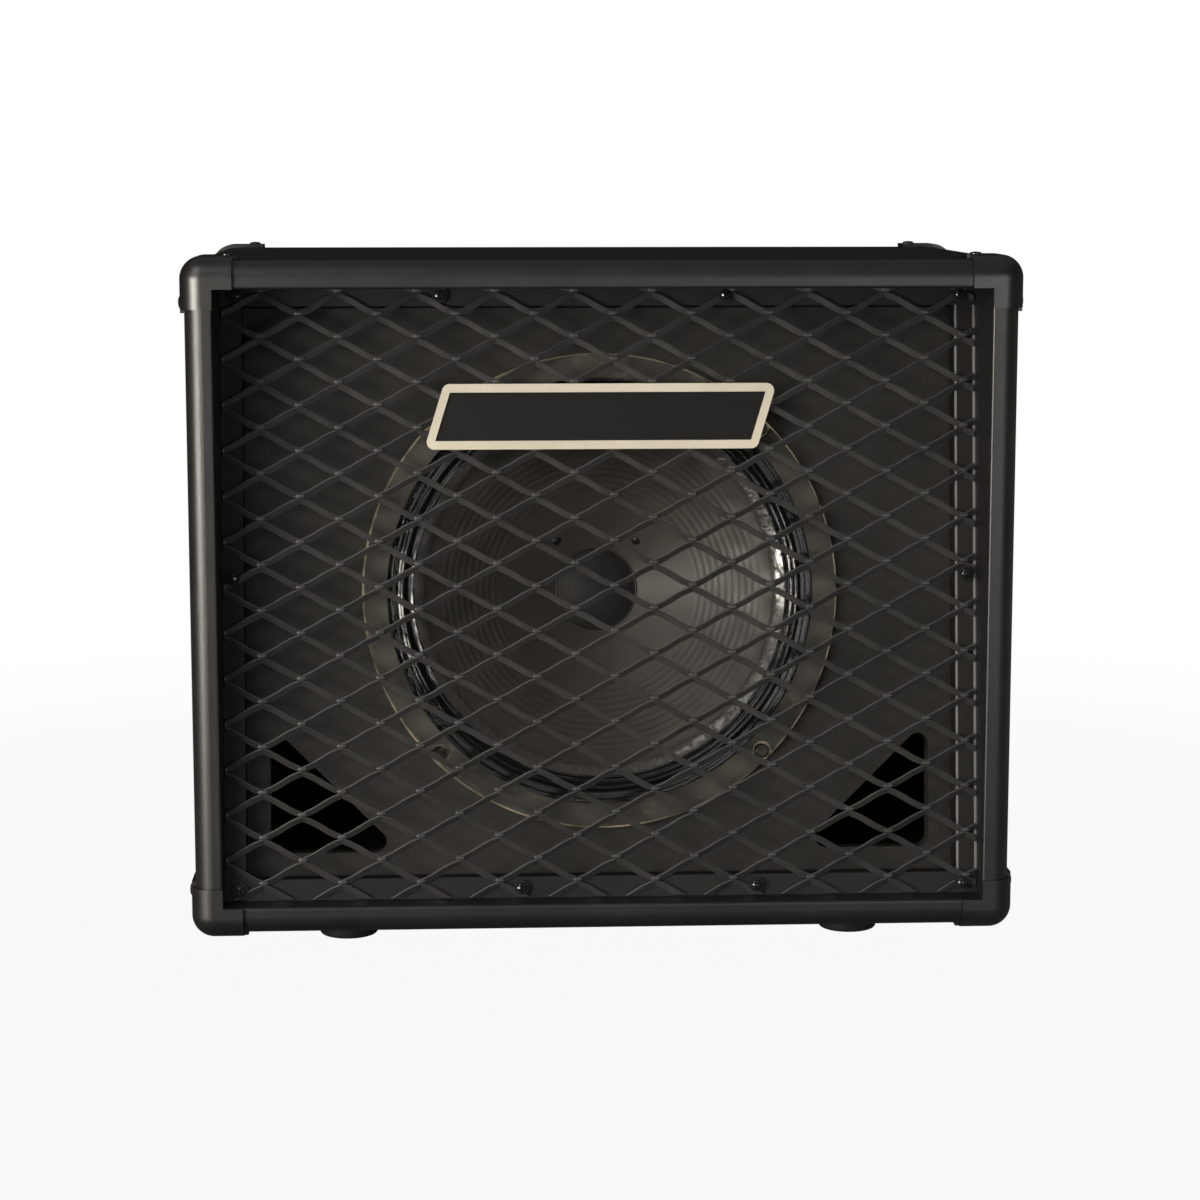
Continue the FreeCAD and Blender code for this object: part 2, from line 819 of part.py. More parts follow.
def speaker_frame():
    """Pressed-steel frame: flange, windowed basket, magnet seat and spider ledge."""
    floor = -basket_depth
    mouth = basket_mouth_radius
    foot = basket_foot_radius
    sheet = basket_sheet
    bowl = turned([(mouth, 0), (mouth + sheet, 0), (foot + sheet, floor), (foot, floor)])
    half_step = math.pi / window_count
    far = 2 * flange_radius
    slots = []
    for k in range(window_count):
        gap = prism(
            [
                (window_leg / 2 / math.sin(half_step), 0),
                (far, -(far * math.tan(half_step) - window_leg / 2 / math.cos(half_step))),
                (far, far * math.tan(half_step) - window_leg / 2 / math.cos(half_step)),
            ],
            floor + window_margin,
            -window_margin,
        )
        slots.append(spun(gap, 360 / window_count * (k + 0.5)))
    bowl = bowl.cut(slots)
    flange = ring(mouth, flange_radius, 0, flange_thickness)
    hole = cylinder(bolt_radius + 2 * drill_clearance, -1, flange_thickness + 1, bolt_circle_radius, 0)
    flange = flange.cut([spun(hole, 360 / bolt_hole_count * k) for k in range(bolt_hole_count)])
    magnet_seat = ring(frame_throat_radius, foot + sheet, floor, floor + sheet)
    outer = ledge_radius + ledge_width
    riser = ring(outer - sheet, outer, floor + sheet, floor + ledge_height)
    ledge = ring(ledge_radius, outer, floor + ledge_height - sheet, floor + ledge_height)
    drill = rivet_radius + drill_clearance
    rivets = [board_placed(cylinder(drill, -rivet_reach, 1, x)) for x in rivet_columns()]
    return seat(joined(bowl.Solids[0], flange, magnet_seat, riser, ledge).cut(rivets).Solids[0])


def speaker_gasket():
    """Gasket ring on the flange, notched round the bolt heads."""
    face = flange_thickness + gasket_thickness
    washer = ring(gasket_inner_radius, gasket_outer_radius, flange_thickness, face)
    notch = cylinder(gasket_notch_radius, 0, 2 * gasket_thickness, bolt_circle_radius, 0)
    return seat(washer.cut([spun(notch, angle) for angle in bolt_angles()]).Solids[0])


def cone_level(radius):
    """Height of the cone's front face at a radius."""
    slope = cone_depth / (cone_edge_radius - cone_neck_radius)
    return flange_thickness + surround_paper - slope * (cone_edge_radius - radius)


def speaker_cone():
    """Paper cone from the coil former to the surround."""
    edge = cone_level(cone_edge_radius)
    neck = cone_level(cone_neck_radius)
    cone = turned(
        [
            (cone_neck_radius, neck),
            (cone_edge_radius, edge),
            (cone_edge_radius, edge - cone_paper),
            (cone_neck_radius, neck - cone_paper),
        ]
    )
    return seat(cone)


def cone_surround():
    """Waved paper edge between the cone and the flange."""
    return seat(
        wavy_ring(
            cone_edge_radius + glue_gap,
            gasket_inner_radius - glue_gap,
            cone_edge_radius + surround_margin,
            basket_mouth_radius - surround_margin,
            surround_wave_count,
            surround_wave_height,
            flange_thickness,
            surround_paper,
        )
    )


def dust_cap():
    """Shallow dome over the voice coil."""
    ball = (cap_dome_radius**2 + cap_dome_height**2) / (2 * cap_dome_height)
    level = cone_level(cap_dome_radius) + glue_gap
    centre = V(0, 0, level + cap_dome_height - ball)
    above = cylinder(cap_dome_radius, level, level + cap_dome_height)
    shell = Part.makeSphere(ball, centre).cut(Part.makeSphere(ball - cap_dome_paper, centre))
    return seat(shell.common(above).Solids[0])


def plate_face():
    """Height of the top plate's front face."""
    return -basket_depth


def winding_span():
    """Lower and upper end of the winding, centred in the top plate."""
    middle = plate_face() - top_plate_thickness / 2
    return middle - winding_length / 2, middle + winding_length / 2


def coil_former():
    """Tube that carries the winding, glued in the cone's neck."""
    low = winding_span()[0] - former_tail
    return seat(ring(former_radius, former_outer_radius, low, cone_level(cone_neck_radius)))


def coil_winding():
    """Copper winding on the former."""
    return seat(ring(former_outer_radius, former_outer_radius + winding_thickness, *winding_span()))


def spider():
    """Corrugated cloth that centres the coil."""
    level = plate_face() + ledge_height
    return seat(
        wavy_ring(
            former_outer_radius + glue_gap,
            ledge_radius + ledge_width,
            former_outer_radius + spider_margin,
            ledge_radius - spider_margin,
            spider_wave_count,
            spider_wave_height,
            level,
            spider_cloth,
        )
    )


def magnet_end():
    """Height of the back plate's rear face."""
    return plate_face() - top_plate_thickness - magnet_thickness - back_plate_thickness


def magnet_pieces():
    """Top plate, ferrite ring and back plate with its pole."""
    face = plate_face()
    plate_back = face - top_plate_thickness
    magnet_back = plate_back - magnet_thickness
    plate = cylinder(back_plate_radius, magnet_back - back_plate_thickness, magnet_back)
    return {
        "top_plate": seat(ring(top_plate_bore, top_plate_radius, plate_back, face)),
        "magnet_ring": seat(ring(magnet_bore, magnet_radius, magnet_back, plate_back)),
        "back_plate": seat(joined(plate, cylinder(pole_radius, magnet_back, face))),
    }


def on_bolt_circle(shape):
    """Copies of a shape drawn on the speaker's axis, at the four bolts."""
    return [seat(spun(shifted(shape, bolt_circle_radius, 0, 0), angle)) for angle in bolt_angles()]


def speaker_bolts():
    """Bolts through the flange and baffle, and their clearance drills."""
    head = cylinder(bolt_head_radius, flange_thickness, flange_thickness + bolt_head_height)
    crown = [e for e in head.Edges if e.BoundBox.ZMin > flange_thickness + bolt_head_height - 1e-6]
    head = head.makeFillet(bolt_head_height / 3, crown)
    bolt = joined(head, cylinder(bolt_radius, flange_thickness - bolt_length, flange_thickness))
    back = -baffle_thickness
    barrel_end = back + tee_barrel_length + drill_clearance
    drill = cylinder(bolt_radius + drill_clearance, back - 1, flange_thickness + 1)
    barrel = cylinder(tee_barrel_radius + drill_clearance, back - 1, barrel_end)
    return on_bolt_circle(bolt), on_bolt_circle(drill) + on_bolt_circle(barrel)


def tee_nuts():
    """Tee nuts let into the back of the baffle."""
    back = -baffle_thickness
    barrel = cylinder(tee_barrel_radius, back, back + tee_barrel_length)
    nut = joined(barrel, cylinder(tee_flange_radius, back - tee_flange_thickness, back))
    nut = nut.cut(cylinder(bolt_radius + drill_clearance, back - reach, reach)).Solids[0]
    return on_bolt_circle(nut)


def rivet_columns():
    """Places of the terminal rivets across the board."""
    return [-rivet_spacing / 2, rivet_spacing / 2]


def board_placed(shape):
    """Shape drawn on the terminal board's back face, laid on the basket's top leg."""
    mid_radius = (basket_mouth_radius + basket_foot_radius) / 2 + basket_sheet
    slope = math.atan2(basket_depth, basket_mouth_radius - basket_foot_radius)
    outward = V(0, math.sin(slope), -math.cos(slope))
    place = V(0, mid_radius, -basket_depth / 2) + outward * board_gap
    return put(shape, FreeCAD.Placement(place, FreeCAD.Rotation(V(1, 0, 0), V(), outward, "XZY")))


def terminal_board():
    """Insulating board with two rivets through the basket's top leg."""
    half = board_width / 2
    tall = board_length / 2
    board = block(-half, half, -tall, tall, 0, board_thickness)
    rivet_top = board_thickness + rivet_radius
    rivets = [cylinder(rivet_radius, -rivet_reach, rivet_top, x) for x in rivet_columns()]
    return seat(board_placed(joined(board, *rivets)))


def routed_tube(points, radius):
    """Round tube along straight runs joined by tangent arcs as large as the runs allow."""
    edges = []
    start = points[0]
    for before, corner, after in zip(points, points[1:], points[2:]):
        into = corner - before
        out = after - corner
        half_turn = into.getAngle(out) / 2
        tangent = 0.45 * min(into.Length, out.Length)
        bend = tangent / math.tan(half_turn)
        into.normalize()
        out.normalize()
        inward = (out - into).normalize()
        first = corner - into * tangent
        last = corner + out * tangent
        middle = corner + inward * (bend / math.cos(half_turn) - bend)
        edges.append(Part.LineSegment(start, first).toShape())
        edges.append(Part.Arc(first, middle, last).toShape())
        start = last
    edges.append(Part.LineSegment(start, points[-1]).toShape())
    path = Part.Wire(edges)
    section = Part.Wire(Part.makeCircle(radius, points[0], points[1] - points[0]))
    return path.makePipeShell([section], True)


def speaker_point(x, y, z):
    """Point given in the speaker's own axes, in the cabinet's frame."""
    return lean_placement.multVec(V(x, y, z - batten_depth))


def rivet_end(side, depth):
    """Point on a terminal rivet's axis, a depth in front of the board's back face."""
    spot = board_placed(Part.Vertex(side * rivet_spacing / 2, 0, depth)).Point
    return speaker_point(spot.x, spot.y, spot.z)


def tinsel_leads():
    """Limp leads from the rivets to the eyelets behind the cone."""
    leads = []
    for side in (-1, 1):
        turn = math.radians(eyelet_angle)
        x = side * eyelet_radius * math.sin(turn)
        y = eyelet_radius * math.cos(turn)
        z = cone_level(eyelet_radius) - cone_paper - glue_gap
        points = [rivet_end(side, -rivet_reach), rivet_end(side, -rivet_reach - tinsel_stub)]
        for outward, up, forward in tinsel_bends:
            points.append(speaker_point(x + side * outward, y + up, z + forward))
        points.append(speaker_point(x, y, z))
        leads.append(routed_tube(points, tinsel_radius))
    return leads


def speaker_leads():
    """Pair of insulated leads from the input jack's tags to the terminal rivets."""
    leads = []
    jack_at = jack_places()["input_jack"]
    tag_y = rear_face - jack_body_length - jack_tag_length
    for side in (-1, 1):
        outer = board_thickness + rivet_radius
        start = V(jack_at.x + side * jack_body_size / 4, tag_y, jack_at.z)
        end = rivet_end(side, outer)
        back, up = lead_rivet_bend
        points = [start, start + V(0, -lead_tag_run, 0)]
        for across, up_slope, behind in lead_bends:
            points.append(speaker_point(across + side * lead_spread, up_slope, magnet_end() - behind))
        points.append(end + V(side * lead_spread, back, up))
        points += [rivet_end(side, outer + lead_rivet_run), end]
        leads.append(routed_tube(points, lead_radius))
    return leads


def build():
    """Every piece of the cabinet by name, single solids and groups of like solids."""
    grille = (grille_screw_radius, grille_screw_length, grille_head_radius, grille_head_height)
    grille_screws, grille_drills = screws_and_drills(grille_screw_places(), *grille)
    trim = (trim_screw_radius, trim_screw_length, trim_head_radius, trim_head_height)
    cap_screws, cap_drills = screws_and_drills(corner_screw_places(), *trim)
    handle_screws, handle_drills = screws_and_drills(handle_screw_places(), *trim)
    plate_screws, plate_drills = screws_and_drills(jack_plate_screw_places(), *trim)
    foot_heads = [(place + V(0, 0, foot_well_depth), V(0, 0, -1)) for place in foot_places().values()]
    foot = (foot_screw_radius, foot_screw_length, foot_head_radius, foot_head_height)
    foot_screws, foot_drills = screws_and_drills(foot_heads, *foot)
    back = (rear_screw_radius, rear_screw_length, rear_head_radius, rear_head_height)
    rear_screws, rear_drills = screws_and_drills(rear_screw_places(), *back)
    bolts, bolt_drills = speaker_bolts()
    handle_cuts = [handle_cut(), mirrored(handle_cut())]
    shell_drills = cap_drills + handle_drills + foot_drills + handle_cuts

    pieces = {name: less(shape, shell_drills) for name, shape in carcass_panels().items()}
    pieces["vinyl_covering"] = less(vinyl_covering(), shell_drills)
    pieces["baffle_board"] = baffle_board(bolt_drills)
    pieces |= {name: less(shape, grille_drills) for name, shape in grille_battens().items()}
    stud = cylinder(badge_stud_radius + drill_clearance, -mesh_thickness, 2 * mesh_thickness)
    stud_drills = [lean(shifted(stud, x, y, 0)) for x, y in badge_stud_places()]
    pieces["grille_mesh"] = grille_mesh(grille_drills + stud_drills)
    pieces["grille_screws"] = grille_screws
    pieces["grille_washers"] = grille_washers()
    pieces["badge_plate"] = badge_plate()
    pieces["badge_clips"] = badge_clips()
    cap_shell = rounded_block(cap_thickness).cut(rounded_block(cap_seat))
    for end, end_name in ((-1, "front"), (1, "rear")):
        for level, level_name in ((1, "top"), (-1, "bottom")):
            for side, side_name in ((-1, "left"), (1, "right")):
                name = f"corner_cap_{end_name}_{level_name}_{side_name}"
                pieces[name] = corner_cap(cap_shell, side, end, level, cap_drills)
    pieces["corner_cap_screws"] = cap_screws
    for name, place in foot_places().items():
        pieces[name] = shifted(rubber_foot(), *place)
    pieces["foot_screws"] = foot_screws
    cup = less(handle_cup(), handle_drills)
    pieces["handle_cup_right"] = cup
    pieces["handle_cup_left"] = mirrored(cup)
    pieces["handle_screws"] = handle_screws
    pieces["rear_panel"] = rear_panel(rear_drills + plate_drills)
    pieces |= {name: less(shape, rear_drills) for name, shape in rear_cleats().items()}
    pieces["rear_panel_screws"] = rear_screws
    pieces["jack_plate"] = jack_plate(plate_drills)
    pieces["jack_plate_screws"] = plate_screws
    for name, place in jack_places().items():
        pieces[name] = aimed(jack(), place, V(0, 1, 0))
    pieces["jack_nuts"] = jack_nuts()
    pieces["speaker_frame"] = speaker_frame()
    pieces["speaker_gasket"] = speaker_gasket()
    pieces["cone_surround"] = cone_surround()
    pieces["speaker_cone"] = speaker_cone()
    pieces["dust_cap"] = dust_cap()
    pieces["coil_former"] = coil_former()
    pieces["coil_winding"] = coil_winding()
    pieces["spider"] = spider()
    pieces |= magnet_pieces()
    pieces["terminal_board"] = terminal_board()
    pieces["speaker_bolts"] = bolts
    pieces["tee_nuts"] = tee_nuts()
    pieces["tinsel_leads"] = tinsel_leads()
    pieces["speaker_leads"] = speaker_leads()
    return pieces


os.makedirs("parts", exist_ok=True)
for node, piece in build().items():
    solid = Part.makeCompound(piece) if isinstance(piece, list) else piece
    solid.exportStep(f"parts/{node}.step")
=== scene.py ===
import json
import logging
import math
from dataclasses import dataclass, field
from enum import Enum
from typing import Any, Optional, Sequence, Union

import bmesh
import bpy
import numpy as np
from mathutils import Matrix, Vector


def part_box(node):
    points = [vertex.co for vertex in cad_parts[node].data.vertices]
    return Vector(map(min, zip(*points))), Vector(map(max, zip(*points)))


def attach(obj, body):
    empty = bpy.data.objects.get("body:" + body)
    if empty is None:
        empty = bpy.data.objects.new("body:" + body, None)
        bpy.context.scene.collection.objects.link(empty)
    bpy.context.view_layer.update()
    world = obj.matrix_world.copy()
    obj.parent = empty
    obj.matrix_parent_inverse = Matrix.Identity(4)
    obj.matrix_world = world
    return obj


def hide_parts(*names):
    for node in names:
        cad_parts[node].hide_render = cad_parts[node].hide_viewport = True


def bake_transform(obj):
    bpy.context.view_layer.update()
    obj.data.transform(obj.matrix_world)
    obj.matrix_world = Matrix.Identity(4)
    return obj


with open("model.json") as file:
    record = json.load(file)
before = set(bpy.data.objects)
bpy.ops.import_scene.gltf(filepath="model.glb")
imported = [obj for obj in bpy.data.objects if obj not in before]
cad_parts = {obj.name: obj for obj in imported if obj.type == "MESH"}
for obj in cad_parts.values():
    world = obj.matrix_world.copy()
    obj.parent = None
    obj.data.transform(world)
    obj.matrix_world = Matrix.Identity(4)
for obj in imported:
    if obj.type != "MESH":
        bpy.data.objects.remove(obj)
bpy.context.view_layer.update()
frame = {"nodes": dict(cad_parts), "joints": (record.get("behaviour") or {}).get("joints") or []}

log = logging.getLogger("speaker_cabinet")

MM = 0.001
CABINET = "cabinet"
CONE = "cone"
SIDES = ("top", "bottom", "left", "right")
WHITE = (1.0, 1.0, 1.0, 1.0)
Colour = tuple[float, float, float]
Point = tuple[float, float, float]
Profile = list[tuple[float, float]]
Value = Union[float, "Expr"]
Settings = Optional[dict[str, Any]]
Sockets = Optional[dict[Any, Any]]

# Noise in the finishes: sizes of slow patterns in grains, and the levels where they start and end
NOISE_ROUGHNESS = 0.55
WANDER_GRAINS, WANDER_LEVELS = 45, (0.3, 0.7)
MARK_GRAINS, MARK_LEVELS = 14, (0.58, 0.8)
GLOSS_GRAINS, GLOSS_WANDER = 30, 0.1
# Painted shade in the hollows of the grain: levels of relief where it fades out, how much of it shows, and
# how dark it is
PAINTED_HOLLOW_LEVELS, PAINTED_HOLLOW_SHARE, PAINTED_HOLLOW_SHADE = (0.15, 0.5), 0.35, 0.45

# Angles in degrees above which an edge stays sharp
SCREW_CREASE, STRAND_CREASE, ROUND_CREASE = 32.0, 50.0, 60.0

# Widths in metres within which points count as one point, or as lying on a rim
SAME_POINT, SAME_RIM = 1e-6, 1e-5

# Decimals of a metre that tell one level from another
LEVEL_DIGITS = 5


class Expr:
    """A value in a node tree that Python's operators combine."""

    def __init__(self, graph: "Graph", socket: bpy.types.NodeSocket) -> None:
        """Wraps one output socket of a graph."""
        self.graph = graph
        self.socket = socket

    def math(self, operation: str, *values: Value) -> "Expr":
        """Result of one Math node on values, in order."""
        return self.graph.result("ShaderNodeMath", {"operation": operation}, dict(enumerate(values)))

    def __add__(self, other: Value) -> "Expr":
        """Sum."""
        return self.math("ADD", self, other)

    def __radd__(self, other: Value) -> "Expr":
        """Sum with a number in front."""
        return self.math("ADD", other, self)

    def __sub__(self, other: Value) -> "Expr":
        """Difference."""
        return self.math("SUBTRACT", self, other)

    def __rsub__(self, other: Value) -> "Expr":
        """Difference with a number in front."""
        return self.math("SUBTRACT", other, self)

    def __mul__(self, other: Value) -> "Expr":
        """Product."""
        return self.math("MULTIPLY", self, other)

    def __rmul__(self, other: Value) -> "Expr":
        """Product with a number in front."""
        return self.math("MULTIPLY", other, self)

    def sine(self) -> "Expr":
        """Sine of the value."""
        return self.math("SINE", self)

    def or_more(self, other: Value) -> "Expr":
        """The larger of two values."""
        return self.math("MAXIMUM", self, other)


class Graph:
    """A node tree built from Python."""

    def __init__(self, tree: bpy.types.NodeTree) -> None:
        """Takes the tree that the nodes are added to."""
        self.tree = tree

    def node(self, kind: str, settings: Settings = None, sockets: Sockets = None) -> bpy.types.Node:
        """Adds one node.

        Args:
            kind: the node's type.
            settings: the node's own properties, set first.
            sockets: values or links of its inputs, by name or number.

        Returns:
            The new node.
        """
        node = self.tree.nodes.new(kind)
        for key, value in (settings or {}).items():
            setattr(node, key, value)
        for key, value in (sockets or {}).items():
            self.feed(node.inputs[key], value)
        return node

    def result(self, kind: str, settings: Settings = None, sockets: Sockets = None, output: Any = 0) -> Expr:
        """One output, by name or number, of a new node."""
        return Expr(self, self.node(kind, settings, sockets).outputs[output])

    def feed(self, socket: bpy.types.NodeSocket, value: Any) -> None:
        """Links a socket to a value, or sets the socket's own value.

        Args:
            socket: an input of a node in the tree.
            value: an expression or a plain value.
        """
        if isinstance(value, Expr):
            self.tree.links.new(value.socket, socket)
        else:
            socket.default_value = value

    def between(self, value: Expr, low: float, high: float) -> Expr:
        """Smooth step from 0 at low to 1 at high."""
        sockets = {"Value": value, "From Min": low, "From Max": high}
        return self.result("ShaderNodeMapRange", {"interpolation_type": "SMOOTHSTEP"}, sockets)

    def rays(self) -> tuple[Expr, Expr]:
        """Kinds of ray that reach a surface.

        Returns:
            Whether a ray comes from the camera, and whether it was mirrored or passed through.
        """
        path = self.node("ShaderNodeLightPath")
        camera, glossy, through = (
            Expr(self, path.outputs[f"Is {kind} Ray"]) for kind in ("Camera", "Glossy", "Transmission")
        )
        return camera, glossy.or_more(through)


class Shader(Graph):
    """One procedural material, patterned on Object coordinates."""

    def __init__(self, name: str) -> None:
        """Starts a material with a Principled surface.

        Args:
            name: the material's name.
        """
        self.material = bpy.data.materials.new(name)
        self.material.use_nodes = True
        super().__init__(self.material.node_tree)
        self.skin = self.tree.nodes["Principled BSDF"]
        self.where = self.result("ShaderNodeTexCoord", output="Object")

    def set(self, **sockets: Any) -> None:
        """Sets or links inputs of the surface, named with underscores for spaces."""
        for key, value in sockets.items():
            self.feed(self.skin.inputs[key.replace("_", " ")], value)

    def noise(self, size: float, detail: float = 3.0, stretch: Point = (1.0, 1.0, 1.0)) -> Expr:
        """Soft noise with features of about one size.

        Args:
            size: size of a feature in metres.
            detail: number of finer layers.
            stretch: how much finer the pattern runs along each axis.

        Returns:
            A value around one half.
        """
        place = self.result("ShaderNodeMapping", None, {"Vector": self.where, "Scale": stretch})
        sockets = {"Vector": place, "Scale": 1 / size, "Detail": detail, "Roughness": NOISE_ROUGHNESS}
        return self.result("ShaderNodeTexNoise", None, sockets)

    def cells(self, size: float) -> Expr:
        """Distance from the middles of random cells of about one size, in cell sizes."""
        sockets = {"Vector": self.where, "Scale": 1 / size}
        return self.result("ShaderNodeTexVoronoi", None, sockets, "Distance")

    def wave(self, turns: Point) -> Expr:
        """Sine that turns by so many radians in a metre along each axis."""
        return self.along(Vector(), Vector(turns)).sine()

    def mix(self, share: Value, first: Union[Colour, Expr], second: Union[Colour, Expr]) -> Expr:
        """Colour between two colours.

        Args:
            share: how much of the second colour shows.
            first: colour at a share of 0.
            second: colour at a share of 1.

        Returns:
            The mixed colour.
        """
        ends = [value if isinstance(value, Expr) else (*value, 1.0) for value in (first, second)]
        return self.result("ShaderNodeMix", {"data_type": "RGBA"}, {0: share, 6: ends[0], 7: ends[1]}, 2)

    def vector(self, operation: str, *values: Any, output: str = "Vector") -> Expr:
        """Result of one Vector Math node on values, in order."""
        return self.result("ShaderNodeVectorMath", {"operation": operation}, dict(enumerate(values)), output)

    def offset(self, middle: Vector) -> Expr:
        """Vector from a point to the shaded point."""
        return self.vector("SUBTRACT", self.where, tuple(middle))

    def along(self, middle: Vector, direction: Vector) -> Expr:
        """Distance in metres from a point along a direction."""
        return self.vector("DOT_PRODUCT", self.offset(middle), tuple(direction), output="Value")

    def radius(self, middle: Vector, axis: Vector) -> Expr:
        """Distance in metres from an axis through a point."""
        across = self.vector("CROSS_PRODUCT", self.offset(middle), tuple(axis))
        return self.vector("LENGTH", across, output="Value")

    def relief(self, height: Expr, depth: float) -> None:
        """Raises the surface's shading by a height from 0 to 1 times a depth in metres."""
        sockets = {"Height": height, "Distance": depth, "Strength": 1.0}
        self.set(Normal=self.result("ShaderNodeBump", None, sockets))


class GeometryTree(Graph):
    """A Geometry Nodes tree with named inputs, whose result becomes a plain mesh."""

    def __init__(self, name: str, inputs: dict[str, str]) -> None:
        """Starts a tree.

        Args:
            name: the tree's name.
            inputs: socket type of each named input.
        """
        super().__init__(bpy.data.node_groups.new(name, "GeometryNodeTree"))
        face = self.tree.interface
        face.new_socket("Geometry", in_out="OUTPUT", socket_type="NodeSocketGeometry")
        face.new_socket("Geometry", in_out="INPUT", socket_type="NodeSocketGeometry")
        self.keys = {
            label: face.new_socket(label, in_out="INPUT", socket_type=kind).identifier
            for label, kind in {**inputs, "Material": "NodeSocketMaterial"}.items()
        }
        self.entry = self.node("NodeGroupInput")

    def given(self, label: str) -> Expr:
        """One named input of the tree."""
        return Expr(self, self.entry.outputs[label])

    def close(self, instances: Expr) -> None:
        """Ends the tree in real geometry with its material.

        Args:
            instances: the geometry that the tree has placed.
        """
        real = self.result("GeometryNodeRealizeInstances", None, {"Geometry": instances})
        sockets = {"Geometry": real, "Material": self.given("Material")}
        dressed = self.result("GeometryNodeSetMaterial", None, sockets)
        self.node("NodeGroupOutput", None, {"Geometry": dressed})

    def run(self, obj: bpy.types.Object, values: dict[str, Any]) -> bpy.types.Object:
        """Runs the tree on an object and keeps the result as the object's own mesh.

        Args:
            obj: the object whose mesh enters the tree.
            values: value of each named input.

        Returns:
            The same object, with no modifier left on it.
        """
        modifier = obj.modifiers.new(self.tree.name, "NODES")
        modifier.node_group = self.tree
        for label, value in values.items():
            modifier[self.keys[label]] = value
        mesh = evaluated_mesh(obj)
        obj.modifiers.clear()
        obj.data = mesh
        return obj


class Grain(Enum):
    """Surface textures that a finish chooses from."""

    PEBBLE = "pebbled vinyl"
    PEEL = "sprayed coat"
    MOULDED = "moulded plastic"
    PAPER = "pressed paper"
    FELT = "felted paper"
    CLOTH = "woven cloth"
    WOOD = "sawn wood"
    BRUSHED = "brushed metal"
    CAST = "sintered or cast"
    TWISTED = "twisted strands"


def shaded(colour: Colour, share: float) -> Colour:
    """A colour made darker or lighter."""
    return tuple(part * share for part in colour)


def blended(first: Expr, second: Expr, share: float) -> Expr:
    """Sum of a share of one value and the rest of another."""
    return first * share + second * (1 - share)


@dataclass(frozen=True)
class Finish:
    """One procedural finish; lengths are in metres."""

    name: str
    colour: Colour
    grain: Grain
    size: float
    depth: float
    roughness: float
    wander: float = 0.2
    mark: Colour = (0.25, 0.24, 0.22)
    marks: float = 0.0
    metallic: float = 0.0
    specular: float = 0.3

    def height(self, shader: Shader) -> Expr:
        """Relief of the grain.

        Args:
            shader: the material that the relief is made in.

        Returns:
            A height from about 0 to 1.
        """
        size, fine = self.size, self.size / 3
        turn = 2 * math.pi / size
        if self.grain is Grain.PEBBLE:
            return blended(1 - shader.cells(size), shader.noise(fine, detail=2.0), share=0.75)
        if self.grain is Grain.MOULDED:
            return blended(shader.noise(size, detail=4.0), shader.cells(size), share=0.5)
        if self.grain is Grain.PAPER:
            fibres = shader.noise(size, detail=5.0, stretch=(1.0, 1.0, 0.35))
            return blended(fibres, shader.noise(fine, detail=2.0), share=0.6)
        if self.grain is Grain.CLOTH:
            return shader.wave((turn, 0, 0)) * shader.wave((0, 0, turn)) * 0.5 + 0.5
        if self.grain is Grain.TWISTED:
            return shader.wave((turn, turn, turn)) * 0.5 + 0.5
        if self.grain is Grain.WOOD:
            return shader.noise(size, detail=4.0, stretch=(0.06, 1.0, 1.0))
        if self.grain is Grain.BRUSHED:
            return shader.noise(size, detail=2.0, stretch=(0.03, 1.0, 1.0))
        details = {Grain.PEEL: 1.0, Grain.FELT: 8.0, Grain.CAST: 6.0}
        return shader.noise(size, details[self.grain])

    def tone(self, shader: Shader, height: Expr) -> Expr:
        """Colour with its slow wander, painted shade in the grain's hollows, and the marks of use.

        Args:
            shader: the material that the colour is made in.
            height: relief of the grain.

        Returns:
            The colour.
        """
        slow = shader.between(shader.noise(self.size * WANDER_GRAINS, detail=4.0), *WANDER_LEVELS)
        dark, light = (shaded(self.colour, share) for share in (1 - self.wander, 1 + self.wander))
        # painted shade: the grain's hollows are darkened where shade would fall
        hollow_shade = 1 - shader.between(height, *PAINTED_HOLLOW_LEVELS)
        low = shaded(self.colour, PAINTED_HOLLOW_SHADE)
        colour = shader.mix(hollow_shade * PAINTED_HOLLOW_SHARE, shader.mix(slow, dark, light), low)
        if self.marks:
            spots = shader.between(shader.noise(self.size * MARK_GRAINS, detail=7.0), *MARK_LEVELS)
            colour = shader.mix(spots * self.marks, colour, self.mark)
        return colour

    def gloss(self, shader: Shader) -> Expr:
        """Roughness with a slow wander."""
        return (shader.noise(self.size * GLOSS_GRAINS, detail=5.0) - 0.5) * GLOSS_WANDER + self.roughness

    def dress(self, shader: Shader) -> None:
        """Sets the surface of a material.

        Args:
            shader: the material, just started.
        """
        height = self.height(shader)
        shader.set(
            Base_Color=self.tone(shader, height),
            Roughness=self.gloss(shader),
            Metallic=self.metallic,
            Specular_IOR_Level=self.specular,
        )
        shader.relief(height, self.depth)

    def material(self) -> bpy.types.Material:
        """Makes a material of the finish.

        Returns:
            The new material.
        """
        shader = Shader(self.name)
        self.dress(shader)
        return shader.material


@dataclass(frozen=True)
class BandedFinish(Finish):
    """A finish with a second colour beyond a level along a direction."""

    second: Colour = (0.02, 0.02, 0.02)
    origin: Vector = field(default_factory=Vector)
    direction: Vector = field(default_factory=Vector)
    blur: float = 0.0001

    def tone(self, shader: Shader, height: Expr) -> Expr:
        """The plain tone above the level and the second colour below it.

        Args:
            shader: the material that the colour is made in.
            height: relief of the grain.

        Returns:
            The colour.
        """
        level = shader.along(self.origin, self.direction)
        base = super().tone(shader, height)
        return shader.mix(shader.between(level, -self.blur, self.blur), self.second, base)


